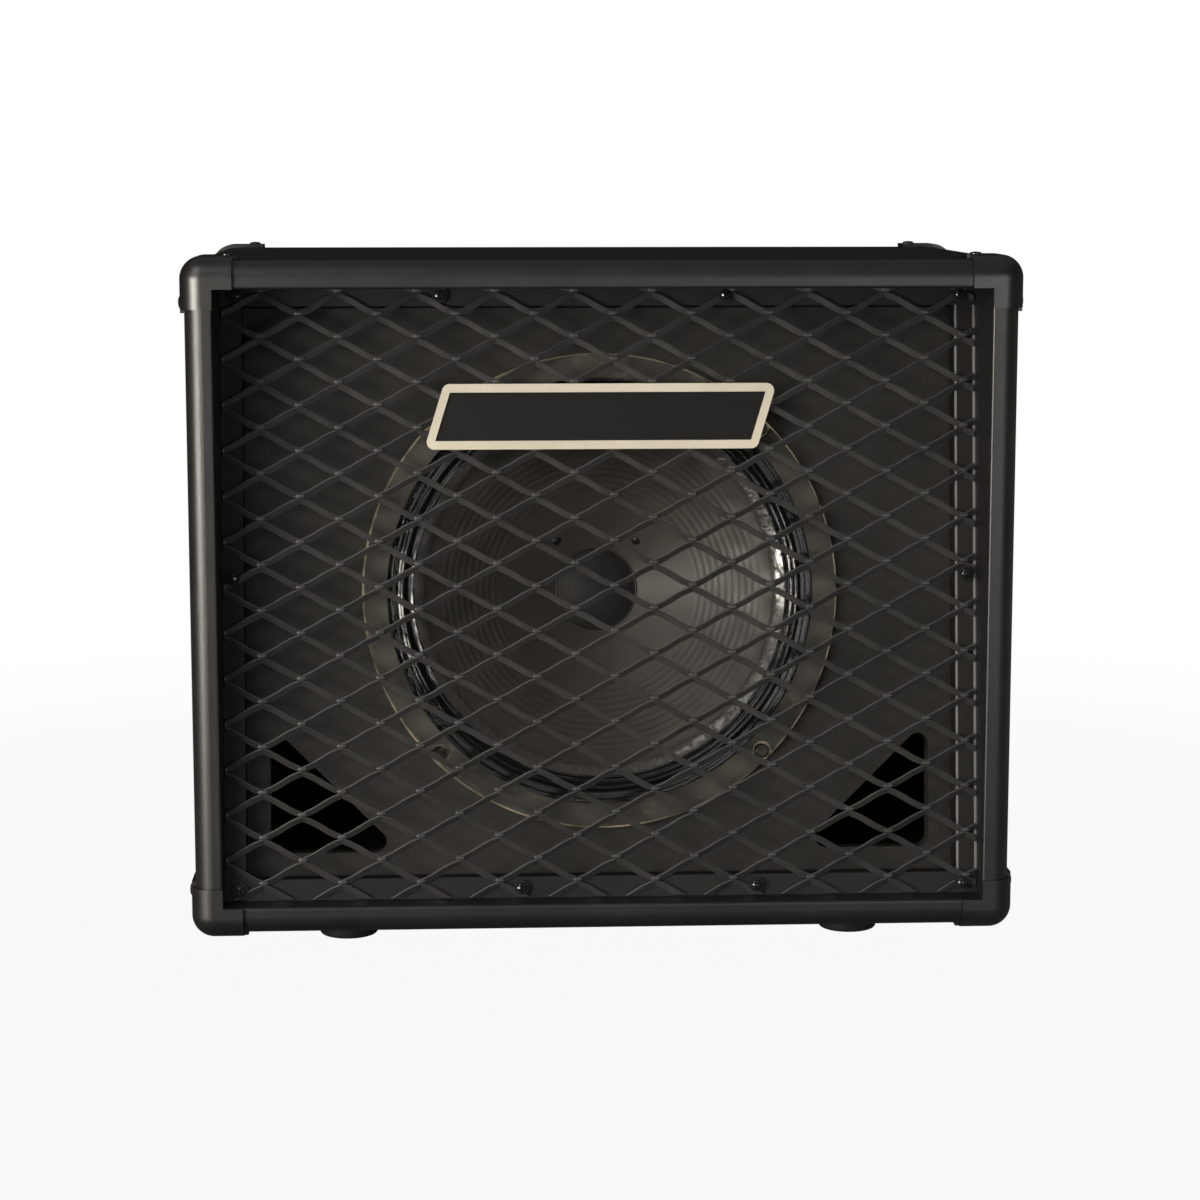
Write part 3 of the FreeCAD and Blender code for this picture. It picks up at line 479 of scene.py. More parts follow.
@dataclass(frozen=True)
class StripedFinish(Finish):
    """A finish with pale strips of painted highlight between pairs of levels along a direction."""

    # colour of the painted highlight strips
    bare: Colour = (0.22, 0.213, 0.2)
    direction: Vector = field(default_factory=Vector)
    strips: tuple[tuple[float, float], ...] = ()
    blur: float = 0.0003

    def tone(self, shader: Shader, height: Expr) -> Expr:
        """The plain tone, with the painted highlight strips over it.

        Args:
            shader: the material that the colour is made in.
            height: relief of the grain.

        Returns:
            The colour.
        """
        colour = super().tone(shader, height)
        level = shader.along(Vector(), self.direction)
        for low, high in self.strips:
            above = shader.between(level, low - self.blur, low)
            strip = above * (1 - shader.between(level, high, high + self.blur))
            colour = shader.mix(strip, colour, self.bare)
        return colour


@dataclass(frozen=True)
class RingedFinish(Finish):
    """A finish with a glossy doped band beyond a radius from an axis."""

    middle: Vector = field(default_factory=Vector)
    axis: Vector = field(default_factory=Vector)
    reach: tuple[float, float] = (0.0, 1.0)
    dope: Colour = (0.02, 0.02, 0.02)
    dope_roughness: float = 0.3
    dope_coat: float = 1.0
    dope_lumps: float = 9.0
    lump_size: float = 0.0035
    ragged_size: float = 0.004
    ragged_reach: float = 0.006
    patch_size: float = 0.005
    patch_levels: tuple[float, float] = (0.4, 0.58)
    coat_roughness: float = 0.18

    def band(self, shader: Shader) -> Expr:
        """How much dope covers a point, with a ragged edge."""
        ragged = (shader.noise(self.ragged_size, detail=5.0) - 0.5) * self.ragged_reach
        return shader.between(shader.radius(self.middle, self.axis) + ragged, *self.reach)

    def height(self, shader: Shader) -> Expr:
        """The plain relief, with lumps of dope in the band."""
        lumps = shader.noise(self.lump_size) * self.dope_lumps
        return super().height(shader) + lumps * self.band(shader)

    def tone(self, shader: Shader, height: Expr) -> Expr:
        """The plain tone near the axis, and the dope further out."""
        return shader.mix(self.band(shader), super().tone(shader, height), self.dope)

    def gloss(self, shader: Shader) -> Expr:
        """The plain roughness near the axis, and the dope's further out."""
        base = super().gloss(shader)
        return base + (self.dope_roughness - base) * self.band(shader)

    def dress(self, shader: Shader) -> None:
        """Sets the surface, with the dope's patchy clear coat.

        Args:
            shader: the material, just started.
        """
        super().dress(shader)
        patches = shader.between(shader.noise(self.patch_size, detail=5.0), *self.patch_levels)
        coat = self.band(shader) * patches * self.dope_coat
        shader.set(Coat_Weight=coat, Coat_Roughness=self.coat_roughness)


@dataclass(frozen=True)
class LeanPlane:
    """The leaning plane of the grille's back face, with its across, up and out directions."""

    middle: Vector
    up: Vector
    out: Vector
    half_width: float
    half_height: float

    @classmethod
    def of_grille(cls) -> "LeanPlane":
        """Works the plane out from the grille's box and the cone's axis.

        Returns:
            The plane.
        """
        out = Vector(frame["joints"][0]["axis"]).normalized()
        up = Vector((0.0, out.z, -out.y))
        low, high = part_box("grille_mesh")
        lean, rise = out.z, -out.y
        deep, tall = high.y - low.y, high.z - low.z
        spread = rise * rise - lean * lean
        half_height = (tall * rise - deep * lean) / spread / 2
        middle = Vector(((low.x + high.x) / 2, high.y - half_height * lean, low.z + half_height * rise))
        return cls(middle, up, out, (high.x - low.x) / 2, half_height)

    def matrix(self) -> Matrix:
        """Turns local across, up and out into the cabinet's frame."""
        turn = Matrix((Vector((1, 0, 0)), self.up, self.out)).transposed().to_4x4()
        return Matrix.Translation(self.middle) @ turn

    def point(self, x: float, y: float, z: float) -> Vector:
        """A local point in the cabinet's frame."""
        return self.matrix() @ Vector((x, y, z))

    def local(self, node: str) -> np.ndarray:
        """Points of a CAD node in the plane's own directions.

        Args:
            node: the node's name.

        Returns:
            One row of across, up and out for each point.
        """
        back = np.array(self.matrix().inverted())
        points = np.array([vertex.co for vertex in frame["nodes"][node].data.vertices])
        return points @ back[:3, :3].T + back[:3, 3]

    def polar(self, node: str) -> tuple[np.ndarray, np.ndarray]:
        """Radius and level of each point of a CAD node about the plane's middle."""
        points = self.local(node)
        return np.hypot(points[:, 0], points[:, 1]), points[:, 2]


def new_object(name: str, data: bpy.types.ID) -> bpy.types.Object:
    """Puts a mesh, curve, light or camera in the scene as an object at the origin.

    Args:
        name: the object's name.
        data: what the object shows.

    Returns:
        The new object.
    """
    obj = bpy.data.objects.new(name, data)
    bpy.context.scene.collection.objects.link(obj)
    return obj


def evaluated_mesh(obj: bpy.types.Object) -> bpy.types.Mesh:
    """A plain mesh of an object with its modifiers, or of a curve."""
    return bpy.data.meshes.new_from_object(obj.evaluated_get(bpy.context.evaluated_depsgraph_get()))


def mesh_object(
    name: str, work: bmesh.types.BMesh, place: Optional[Matrix] = None, finish: Optional[Finish] = None
) -> bpy.types.Object:
    """Turns a finished bmesh into an object.

    Args:
        name: the piece's name.
        work: the mesh, which is freed.
        place: where the mesh goes in the cabinet's frame.
        finish: the finish of a round, smooth piece.

    Returns:
        The new object, at the origin with its place in its mesh.
    """
    if place:
        work.transform(place)
    mesh = bpy.data.meshes.new(name)
    work.to_mesh(mesh)
    work.free()
    obj = new_object(name, mesh)
    if finish:
        mesh.materials.append(finish.material())
        soften(obj, ROUND_CREASE)
    return obj


def soften(obj: bpy.types.Object, degrees: float) -> None:
    """Smooth shading with edges kept sharp above an angle."""
    obj.data.shade_smooth()
    obj.data.set_sharp_from_angle(angle=math.radians(degrees))


def turns(count: int) -> list[float]:
    """Angles of even steps round a circle, in radians."""
    return [2 * math.pi * k / count for k in range(count)]


def tube(work: bmesh.types.BMesh, rows: Sequence[Sequence[Vector]]) -> None:
    """Adds a closed tube.

    Args:
        work: the mesh that it is added to.
        rows: points round each section, in order along the tube.
    """
    rings = [[work.verts.new(point) for point in row] for row in rows]
    for first, second in zip(rings, rings[1:]):
        for k in range(len(first)):
            work.faces.new((first[k - 1], first[k], second[k], second[k - 1]))
    work.faces.new(rings[0])
    work.faces.new(rings[-1])


def lathe(profile: Profile, steps: int, closed: bool) -> bmesh.types.BMesh:
    """Turns a profile of radius and height about Z.

    Args:
        profile: points in order; a radius of 0 makes a pole.
        steps: number of steps round.
        closed: whether the last point joins the first.

    Returns:
        The turned mesh, with its normals outwards.
    """
    work = bmesh.new()
    rings = []
    for radius, height in profile:
        if radius == 0:
            rings.append([work.verts.new((0, 0, height))] * steps)
            continue
        points = [(radius * math.cos(turn), radius * math.sin(turn), height) for turn in turns(steps)]
        rings.append([work.verts.new(point) for point in points])
    pairs = list(zip(rings, rings[1:]))
    if closed:
        pairs.append((rings[-1], rings[0]))
    for first, second in pairs:
        for k in range(steps):
            after = (k + 1) % steps
            corners = dict.fromkeys((first[k], first[after], second[after], second[k]))
            work.faces.new(list(corners))
    bmesh.ops.recalc_face_normals(work, faces=work.faces)
    return work


def fix(obj: bpy.types.Object, body: str, slot: str, *nodes: str) -> bpy.types.Object:
    """Parents a finished piece to its body and hides the CAD nodes that it stands for.

    Args:
        obj: the piece.
        body: the body that it rides on.
        slot: not used.
        nodes: CAD nodes that it stands for.

    Returns:
        The piece.
    """
    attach(obj, body)
    if nodes:
        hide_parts(*nodes)
    log.info("%s: %d faces on %s", obj.name, len(getattr(obj.data, "polygons", ())), body)
    return obj


def stretch(obj: bpy.types.Object, slot: str, node: str, still: Vector, moving: Vector) -> None:
    """Bakes a piece's place into its mesh and hides the CAD node that it stands for.

    Args:
        obj: the piece.
        slot: not used.
        node: CAD node that it stands for.
        still: not used.
        moving: not used.
    """
    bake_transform(obj)
    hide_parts(node)
    log.info("%s: blended from %s to %s", obj.name, CABINET, CONE)


def dress_nodes(finish: Finish, *nodes: str) -> None:
    """Gives CAD nodes that keep their shape a procedural material.

    Args:
        finish: the finish that they share.
        nodes: the nodes' names.
    """
    material = finish.material()
    for name in nodes:
        mesh = frame["nodes"][name].data
        mesh.materials.clear()
        mesh.materials.append(material)
        log.info("%s: %s", name, finish.name)


class Finishes:
    """Every finish on the cabinet."""

    vinyl = Finish(
        "black_vinyl", (0.0125, 0.012, 0.0114), Grain.PEBBLE, 0.0011, 0.00005, 0.39,
        wander=0.16, mark=(0.07, 0.066, 0.062), marks=0.06, specular=0.48,
    )
    # Rear vinyl, lighter than the front's as painted light that stands in for the sheen its lamps don't give
    board = Finish(
        "rear_vinyl", (0.024, 0.0231, 0.022), Grain.PEBBLE, 0.0013, 0.0003, 0.45,
        wander=0.12, mark=(0.07, 0.066, 0.062), marks=0.05, specular=0.24,
    )
    # Wood inside the box, darkened as painted shade so that the inside reads dark through the ports
    plywood = Finish("blackened_plywood", (0.04, 0.034, 0.028), Grain.WOOD, 0.004, 0.0002, 0.7, wander=0.22)
    pine = Finish("blackened_pine", (0.024, 0.021, 0.0175), Grain.WOOD, 0.006, 0.0002, 0.7, specular=0.15)
    baffle = Finish(
        "black_paint_on_board", (0.03, 0.0278, 0.0245), Grain.FELT, 0.0016, 0.00012, 0.75,
        mark=(0.06, 0.055, 0.045), marks=0.12, specular=0.15,
    )
    # Paint on the battens, darker than the baffle's as painted shade in the grille's recess
    batten = Finish(
        "black_paint_on_pine", (0.0155, 0.0146, 0.0131), Grain.WOOD, 0.003, 0.0001, 0.7, specular=0.15
    )
    # Powder coat whose lighter speckled marks are partly wear and partly painted glints
    grille = Finish(
        "black_powder_coat", (0.034, 0.0325, 0.03), Grain.PEEL, 0.0011, 0.0001, 0.44,
        mark=(0.08, 0.076, 0.07), marks=0.2, specular=0.5,
    )
    screw = Finish(
        "black_lacquered_steel", (0.014, 0.0137, 0.0133), Grain.PEEL, 0.0012, 0.00002, 0.16,
        mark=(0.2, 0.19, 0.18), marks=0.15, specular=0.4,
    )
    washer = Finish(
        "blackened_washer", (0.012, 0.0116, 0.0112), Grain.PEEL, 0.0012, 0.00003, 0.6, specular=0.15
    )
    steel_clip = Finish(
        "spring_steel", (0.42, 0.41, 0.39), Grain.BRUSHED, 0.0008, 0.00002, 0.35, metallic=1.0
    )
    cap = Finish(
        "moulded_corner_plastic", (0.009, 0.0087, 0.0083), Grain.MOULDED, 0.0007, 0.00004, 0.37,
        wander=0.15, mark=(0.07, 0.067, 0.064), marks=0.12, specular=0.65,
    )
    rubber = Finish(
        "foot_rubber", (0.015, 0.0147, 0.0142), Grain.MOULDED, 0.0012, 0.00008, 0.72,
        wander=0.25, mark=(0.1, 0.095, 0.09), marks=0.2, specular=0.2,
    )
    handle = Finish(
        "moulded_handle_plastic", (0.018, 0.0174, 0.0168), Grain.MOULDED, 0.0008, 0.0001, 0.5,
        wander=0.15, mark=(0.07, 0.067, 0.064), marks=0.1,
    )
    plate = Finish(
        "black_painted_steel", (0.02, 0.0195, 0.019), Grain.PEEL, 0.0012, 0.00004, 0.38,
        wander=0.15, mark=(0.12, 0.115, 0.11), marks=0.15, specular=0.4,
    )
    jack = Finish(
        "jack_plastic", (0.016, 0.0158, 0.0155), Grain.MOULDED, 0.0006, 0.00003, 0.35, specular=0.4
    )
    chrome = Finish("plated_nut", (0.62, 0.61, 0.59), Grain.BRUSHED, 0.0006, 0.00001, 0.2, metallic=1.0)
    frame_metal = Finish(
        "passivated_steel", (0.25, 0.215, 0.15), Grain.BRUSHED, 0.001, 0.00003, 0.45,
        wander=0.45, mark=(0.05, 0.042, 0.03), marks=0.7, metallic=0.8,
    )
    gasket = Finish(
        "gasket_card", (0.05, 0.0465, 0.0385), Grain.PAPER, 0.0009, 0.0003, 0.75,
        wander=0.35, mark=(0.14, 0.128, 0.1), marks=0.6, specular=0.2,
    )
    doped = Finish(
        "doped_paper", (0.005, 0.0049, 0.0047), Grain.PAPER, 0.0012, 0.00022, 0.14,
        wander=0.25, specular=0.5,
    )
    paper = Finish(
        "cone_paper", (0.0425, 0.0383, 0.0318), Grain.PAPER, 0.0011, 0.0001, 0.43,
        wander=0.12, mark=(0.08, 0.074, 0.062), marks=0.2, specular=0.29,
    )
    felt = Finish("dust_cap_felt", (0.021, 0.0197, 0.0178), Grain.FELT, 0.0014, 0.00015, 0.58, specular=0.1)
    glue = Finish("black_glue", (0.008, 0.0078, 0.0075), Grain.PEEL, 0.002, 0.0002, 0.4)
    alloy = Finish("former_alloy", (0.7, 0.69, 0.67), Grain.BRUSHED, 0.0008, 0.00001, 0.35, metallic=1.0)
    copper = Finish("coil_copper", (0.62, 0.27, 0.11), Grain.BRUSHED, 0.0005, 0.00005, 0.35, metallic=1.0)
    cloth = Finish("spider_cloth", (0.3, 0.22, 0.09), Grain.CLOTH, 0.0009, 0.0002, 0.8)
    magnet_metal = Finish(
        "zinc_plate", (0.48, 0.47, 0.43), Grain.CAST, 0.002, 0.00003, 0.4, wander=0.15, metallic=1.0
    )
    ferrite = Finish("ferrite", (0.045, 0.045, 0.048), Grain.CAST, 0.0016, 0.00012, 0.6)
    phenolic = Finish("phenolic_board", (0.16, 0.075, 0.03), Grain.PAPER, 0.0012, 0.00003, 0.4)
    bolt = Finish(
        "black_bolt", (0.018, 0.0165, 0.014), Grain.CAST, 0.0006, 0.00003, 0.34,
        mark=(0.3, 0.25, 0.16), marks=0.35, metallic=0.6,
    )
    tinsel = Finish("tinsel_braid", (0.55, 0.4, 0.24), Grain.TWISTED, 0.0012, 0.0002, 0.4, metallic=0.8)
    lead = Finish("lead_rubber", (0.02, 0.019, 0.018), Grain.PEEL, 0.0015, 0.00003, 0.45)


@dataclass(frozen=True)
class ScrewPlace:
    """One screw as the frame holds it; lengths are in metres."""

    seat: Vector
    aim: Vector
    head_radius: float
    head_height: float
    shank_radius: float
    length: float


@dataclass
class ScrewSet:
    """Cross-recess screws in place of a CAD node's plain ones; sizes are shares of the screw's own."""

    node: str
    slot: str = "black_screw"
    finish: Finish = Finishes.screw
    recess_depth: float = 0.7
    recess_floor: float = 0.45
    slot_reach: float = 0.56
    slot_half: float = 0.13
    rim_share: float = 0.35
    dome_rings: tuple[float, ...] = (0.72, 0.92, 1.0)
    point_start: float = 0.85
    seed: int = 7

    def places(self) -> list[ScrewPlace]:
        """Measures every screw of the CAD node.

        Returns:
            Place and sizes of each, in the order of the node's points, so every run is the same.
        """
        work = bmesh.new()
        work.from_mesh(frame["nodes"][self.node].data)
        bmesh.ops.remove_doubles(work, verts=work.verts, dist=SAME_POINT)
        seen = set()
        found = []
        for start in work.verts:
            if start in seen:
                continue
            seen.add(start)
            group = [start]
            for vertex in group:
                near = [edge.other_vert(vertex) for edge in vertex.link_edges]
                fresh = [other for other in near if other not in seen]
                seen.update(fresh)
                group.extend(fresh)
            found.append(self.measure(np.array([vertex.co for vertex in group])))
        work.free()
        return found

    @staticmethod
    def measure(points: np.ndarray, rim: float = 0.97) -> ScrewPlace:
        """Finds a screw's axis, seat and sizes.

        Args:
            points: the screw's points.
            rim: share of the head's radius beyond which a point counts as its rim.

        Returns:
            Its place and sizes.
        """
        middle = (points.max(0) + points.min(0)) / 2
        spans = np.linalg.eigh(np.cov((points - middle).T))[1].T
        axis = max(spans, key=lambda way: np.ptp(points @ way))
        levels = points @ axis
        centre = points.mean(0)
        radii = np.linalg.norm(points - centre - np.outer((points - centre) @ axis, axis), axis=1)
        if levels[radii.argmax()] < (levels.max() + levels.min()) / 2:
            axis, levels = -axis, -levels
        head = radii.max()
        seat = levels[radii > rim * head].min()
        shank = radii[levels < seat - SAME_RIM]
        place = centre + axis * (seat - centre @ axis)
        return ScrewPlace(
            Vector(place), Vector(axis), float(head), float(levels.max() - seat),
            float(shank.max()), float(seat - levels.min()),
        )

    def unit(self, size: ScrewPlace) -> bpy.types.Object:
        """One screw at the origin with its head up the Z axis.

        Args:
            size: the screw's measured sizes.

        Returns:
            A loose object, removed after the scatter.
        """
        head = size.head_radius
        reach, half = self.slot_reach * head, self.slot_half * head
        arm = (reach + half) / 2
        quarter = [(reach, 0.0), (reach, half), (arm, half), (half, half), (half, arm), (half, reach)]
        outline = []
        for turn in range(4):
            for x, y in quarter:
                for _ in range(turn):
                    x, y = -y, x
                outline.append((x, y))
        count = len(outline)
        sunk = size.head_height * (1 - self.recess_depth)

        def dome(radius: float) -> float:
            """Height of the head's rounded top."""
            bow = math.sqrt(max(0.0, 1 - (radius / head) ** 2))
            return size.head_height * (self.rim_share + (1 - self.rim_share) * bow)

        def circle(radius: float, height: float) -> list[Point]:
            """Points round the head."""
            return [(radius * math.cos(turn), radius * math.sin(turn), height) for turn in turns(count)]

        rows = [
            [(self.recess_floor * x, self.recess_floor * y, sunk) for x, y in outline],
            [(x, y, dome(math.hypot(x, y))) for x, y in outline],
            *(circle(share * head, dome(share * head)) for share in self.dome_rings),
            circle(head, 0.0),
            circle(size.shank_radius, 0.0),
            circle(size.shank_radius, -self.point_start * size.length),
        ]
        work = bmesh.new()
        rings = [[work.verts.new(point) for point in row] for row in rows]
        for first, second in zip(rings, rings[1:]):
            for k in range(count):
                work.faces.new((first[k], first[k - 1], second[k - 1], second[k]))
        for ring, point in ((rings[0], (0, 0, sunk)), (rings[-1], (0, 0, -size.length))):
            pole = work.verts.new(point)
            for k in range(count):
                work.faces.new((ring[k - 1], ring[k], pole))
        bmesh.ops.recalc_face_normals(work, faces=work.faces)
        obj = mesh_object(self.node + "_unit", work)
        soften(obj, SCREW_CREASE)
        return obj

    def scatter(self) -> GeometryTree:
        """Tree that stands the unit on each point along its aim, with a random turn.

        Returns:
            The tree.
        """
        tree = GeometryTree("screw_scatter", {"Unit": "NodeSocketObject", "Seed": "NodeSocketInt"})
        aim = tree.result("GeometryNodeInputNamedAttribute", {"data_type": "FLOAT_VECTOR"}, {"Name": "aim"})
        stand = tree.result("FunctionNodeAlignRotationToVector", {"axis": "Z"}, {"Vector": aim})
        settings, sockets = {"data_type": "FLOAT"}, {"Seed": tree.given("Seed")}
        spin = tree.result("FunctionNodeRandomValue", settings, sockets, 1)
        sockets = {"Axis": (0, 0, 1), "Angle": spin * (2 * math.pi)}
        turn = tree.result("FunctionNodeAxisAngleToRotation", None, sockets)
        sockets = {"Rotation": stand, "Rotate By": turn}
        both = tree.result("FunctionNodeRotateRotation", {"rotation_space": "LOCAL"}, sockets)
        settings, sockets = {"transform_space": "ORIGINAL"}, {"Object": tree.given("Unit")}
        unit = tree.result("GeometryNodeObjectInfo", settings, sockets, "Geometry")
        sockets = {"Points": tree.given("Geometry"), "Instance": unit, "Rotation": both}
        tree.close(tree.result("GeometryNodeInstanceOnPoints", None, sockets))
        return tree

    def build(self) -> bpy.types.Object:
        """Builds the screws as one piece in place of the CAD node.

        Returns:
            The piece.
        """
        places = self.places()
        mesh = bpy.data.meshes.new(self.node + "_crossed")
        mesh.from_pydata([place.seat for place in places], [], [])
        aims = mesh.attributes.new("aim", "FLOAT_VECTOR", "POINT")
        aims.data.foreach_set("vector", [part for place in places for part in place.aim])
        obj = new_object(self.node + "_crossed", mesh)
        unit = self.unit(places[0])
        values = {"Unit": unit, "Seed": self.seed, "Material": self.finish.material()}
        self.scatter().run(obj, values)
        bpy.data.objects.remove(unit)
        return fix(obj, CABINET, self.slot, self.node)


@dataclass
class Carcass:
    """The covered box, its leaning baffle and its rear panel; lengths are in metres."""

    # Widths of the painted highlights on the right-hand batten: from its inner edge, and beside the wall
    highlight_edge: tuple[float, float] = (0.35 * MM, 1.5 * MM)
    highlight_by_wall: float = 1.9 * MM

    def batten_with_painted_highlights(self) -> StripedFinish:
        """Paint on the right-hand batten, with painted highlights along its inner edge and beside the wall,
        where light from the left falls.

        Returns:
            The finish.
        """
        low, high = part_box("grille_batten_right")
        inner, outer = self.highlight_edge
        strips = ((low.x + inner, low.x + outer), (high.x - self.highlight_by_wall, high.x))
        plain = {**Finishes.batten.__dict__, "name": "edged_paint_on_pine"}
        return StripedFinish(**plain, direction=Vector((1, 0, 0)), strips=strips)

    def build(self) -> None:
        """Dresses the box's CAD nodes and adds its rear screws."""
        dress_nodes(Finishes.vinyl, "vinyl_covering")
        dress_nodes(Finishes.plywood, *(side + "_panel" for side in SIDES))
        dress_nodes(Finishes.baffle, "baffle_board")
        dress_nodes(Finishes.batten, *("grille_batten_" + side for side in SIDES[:-1]))
        # only the right-hand batten, which faces the light from the left, gets painted highlights
        dress_nodes(self.batten_with_painted_highlights(), "grille_batten_right")
        dress_nodes(Finishes.board, "rear_panel")
        dress_nodes(Finishes.pine, *("rear_cleat_" + side for side in SIDES))
        ScrewSet("rear_panel_screws").build()


@dataclass
class Grille:
    """Expanded-metal grille with its screws and its blank badge; lengths are in metres."""

    plane: LeanPlane
    long_way: float = 50.36 * MM
    short_way: float = 29.17 * MM
    knot: tuple[float, float] = (8.4 * MM, -114.3 * MM)
    level: float = 1.8 * MM
    strand_width: float = 4.8 * MM
    strand_thickness: float = 1.4 * MM
    strand_edge: float = 0.4 * MM
    lean_degrees: float = 37.0
    bond_offset: float = 1.15 * MM
    bond_rise: float = 0.4 * MM
    bow: float = 0.28
    steps: int = 6
    bead_size: Point = (3.4 * MM, 1.6 * MM, 1.2 * MM)
    bead_place: Point = (0.0, 1.7 * MM, 1.25 * MM)
    bead_segments: tuple[int, int] = (8, 3)
    spare_knots: int = 5
    screw_seed: int = 3

    def strand_pair(self) -> bmesh.types.BMesh:
        """Two strands that rise left and right from one knot to the next two, and the knot's swelling.

        Returns:
            The mesh, with its knot at the origin.
        """
        slope = math.radians(self.lean_degrees)
        face = Vector((0, -math.sin(slope), math.cos(slope)))
        wide, thick = self.strand_width / 2, self.strand_thickness / 2
        flat = wide - self.strand_edge
        section = [(wide, 0), (flat, thick), (-flat, thick), (-wide, 0), (-flat, -thick), (flat, -thick)]
        rise = self.short_way / 2 - 2 * self.bond_offset
        work = bmesh.new()
        for side in (-1, 1):
            points = []
            for k in range(self.steps + 1):
                t = k / self.steps
                eased = t - self.bow * math.sin(2 * math.pi * t) / (2 * math.pi)
                up = self.bond_offset + eased * rise
                points.append(Vector((side * t * self.long_way / 2, up, self.bond_rise * (1 - 2 * t))))
            rows = []
            for k, point in enumerate(points):
                ahead = points[min(k + 1, self.steps)] - points[max(k - 1, 0)]
                tangent = Vector((side, 0, 0)) if k in (0, self.steps) else ahead.normalized()
                normal = (face - tangent * face.dot(tangent)).normalized()
                across = tangent.cross(normal)
                rows.append([point + across * a + normal * b for a, b in section])
            tube(work, rows)
        bead = Matrix.Translation(self.bead_place) @ Matrix.Diagonal((*self.bead_size, 1.0))
        u, v = self.bead_segments
        bmesh.ops.create_uvsphere(work, u_segments=u, v_segments=v, radius=1.0, matrix=bead)
        bmesh.ops.recalc_face_normals(work, faces=work.faces)
        return work

    def lattice(self) -> GeometryTree:
        """Tree that repeats the strand pair on every knot of the sheet.

        Returns:
            The tree.
        """
        sizes = {"Long Way": "NodeSocketFloat", "Short Way": "NodeSocketFloat"}
        counts = {"Columns": "NodeSocketInt", "Rows": "NodeSocketInt"}
        tree = GeometryTree("strand_lattice", {**sizes, **counts})
        wide, tall = tree.given("Long Way"), tree.given("Short Way")
        columns, rows = tree.given("Columns"), tree.given("Rows")
        sockets = {"Size X": wide * (columns - 1), "Size Y": tall * (rows - 1)}
        sockets |= {"Vertices X": columns, "Vertices Y": rows}
        grid = tree.result("GeometryNodeMeshGrid", None, sockets)
        half = tree.result("ShaderNodeCombineXYZ", None, {"X": wide * 0.5, "Y": tall * 0.5})
        shifted = tree.result("GeometryNodeTransform", None, {"Geometry": grid, "Translation": half})
        join = tree.node("GeometryNodeJoinGeometry")
        for knots in (grid, shifted):
            tree.feed(join.inputs[0], knots)
        sockets = {"Points": Expr(tree, join.outputs[0]), "Instance": tree.given("Geometry")}
        tree.close(tree.result("GeometryNodeInstanceOnPoints", None, sockets))
        return tree

    def strands(self) -> bpy.types.Object:
        """Builds the sheet of strands in place of the plain holed sheet.

        Returns:
            The piece.
        """
        obj = mesh_object("grille_strands", self.strand_pair())
        tall = self.plane.half_height + abs(self.knot[1])
        columns = 2 * math.ceil(self.plane.half_width / self.long_way) + self.spare_knots
        rows = 2 * math.ceil(tall / self.short_way) + self.spare_knots
        values = {"Long Way": self.long_way, "Short Way": self.short_way, "Columns": columns, "Rows": rows}
        self.lattice().run(obj, {**values, "Material": Finishes.grille.material()})
        work = bmesh.new()
        work.from_mesh(obj.data)
        work.transform(Matrix.Translation((*self.knot, self.level)))
        for axis, limit in ((0, self.plane.half_width), (1, self.plane.half_height)):
            for side in (-1, 1):
                normal = Vector((0, 0, 0))
                normal[axis] = side
                parts = [*work.verts, *work.edges, *work.faces]
                cut = bmesh.ops.bisect_plane(
                    work, geom=parts, plane_co=normal * limit, plane_no=normal, clear_outer=True
                )
                rim = [part for part in cut["geom_cut"] if isinstance(part, bmesh.types.BMEdge)]
                bmesh.ops.holes_fill(work, edges=rim)
        work.transform(self.plane.matrix())
        bmesh.ops.recalc_face_normals(work, faces=work.faces)
        work.to_mesh(obj.data)
        work.free()
        soften(obj, STRAND_CREASE)
        return fix(obj, CABINET, "black_grille", "grille_mesh")

    def badge_finish(self) -> BandedFinish:
        """Cream rim with a dark sunk field.

        Returns:
            The finish, split halfway between the rim's level and the field's.
        """
        levels = self.plane.local("badge_plate")[:, 2]
        field_level = sorted(set(levels.round(LEVEL_DIGITS)))[-2]
        split = (levels.max() + field_level) / 2
        return BandedFinish(
            "cream_badge", (0.66, 0.6, 0.47), Grain.MOULDED, 0.0009, 0.00003, 0.6,
            wander=0.06, mark=(0.4, 0.35, 0.26), marks=0.12, specular=0.15,
            second=(0.008, 0.0078, 0.0075), origin=self.plane.point(0, 0, split),
            direction=self.plane.out,
        )

    def build(self) -> None:
        """Builds the strands and screws, and dresses the washers, badge and clips."""
        self.strands()
        ScrewSet("grille_screws", seed=self.screw_seed).build()
        dress_nodes(Finishes.washer, "grille_washers")
        dress_nodes(self.badge_finish(), "badge_plate")
        dress_nodes(Finishes.steel_clip, "badge_clips")


@dataclass
class Fittings:
    """Corner caps, feet, handles and the jack plate."""

    first_seed: int = 11
    screws: tuple[str, ...] = ("corner_cap_screws", "foot_screws", "handle_screws", "jack_plate_screws")

    def build(self) -> None:
        """Dresses the fittings' CAD nodes and adds their screws."""
        ends, levels, sides = ("front", "rear"), SIDES[:2], SIDES[2:]
        corners = [f"corner_cap_{end}_{level}_{side}" for end in ends for level in levels for side in sides]
        dress_nodes(Finishes.cap, *corners)
        dress_nodes(Finishes.rubber, *(f"foot_{end}_{side}" for end in ends for side in sides))
        dress_nodes(Finishes.handle, *("handle_cup_" + side for side in sides))
        dress_nodes(Finishes.plate, "jack_plate")
        dress_nodes(Finishes.jack, "input_jack", "link_jack")
        dress_nodes(Finishes.chrome, "jack_nuts")
        for seed, node in enumerate(self.screws, self.first_seed):
            ScrewSet(node, seed=seed).build()


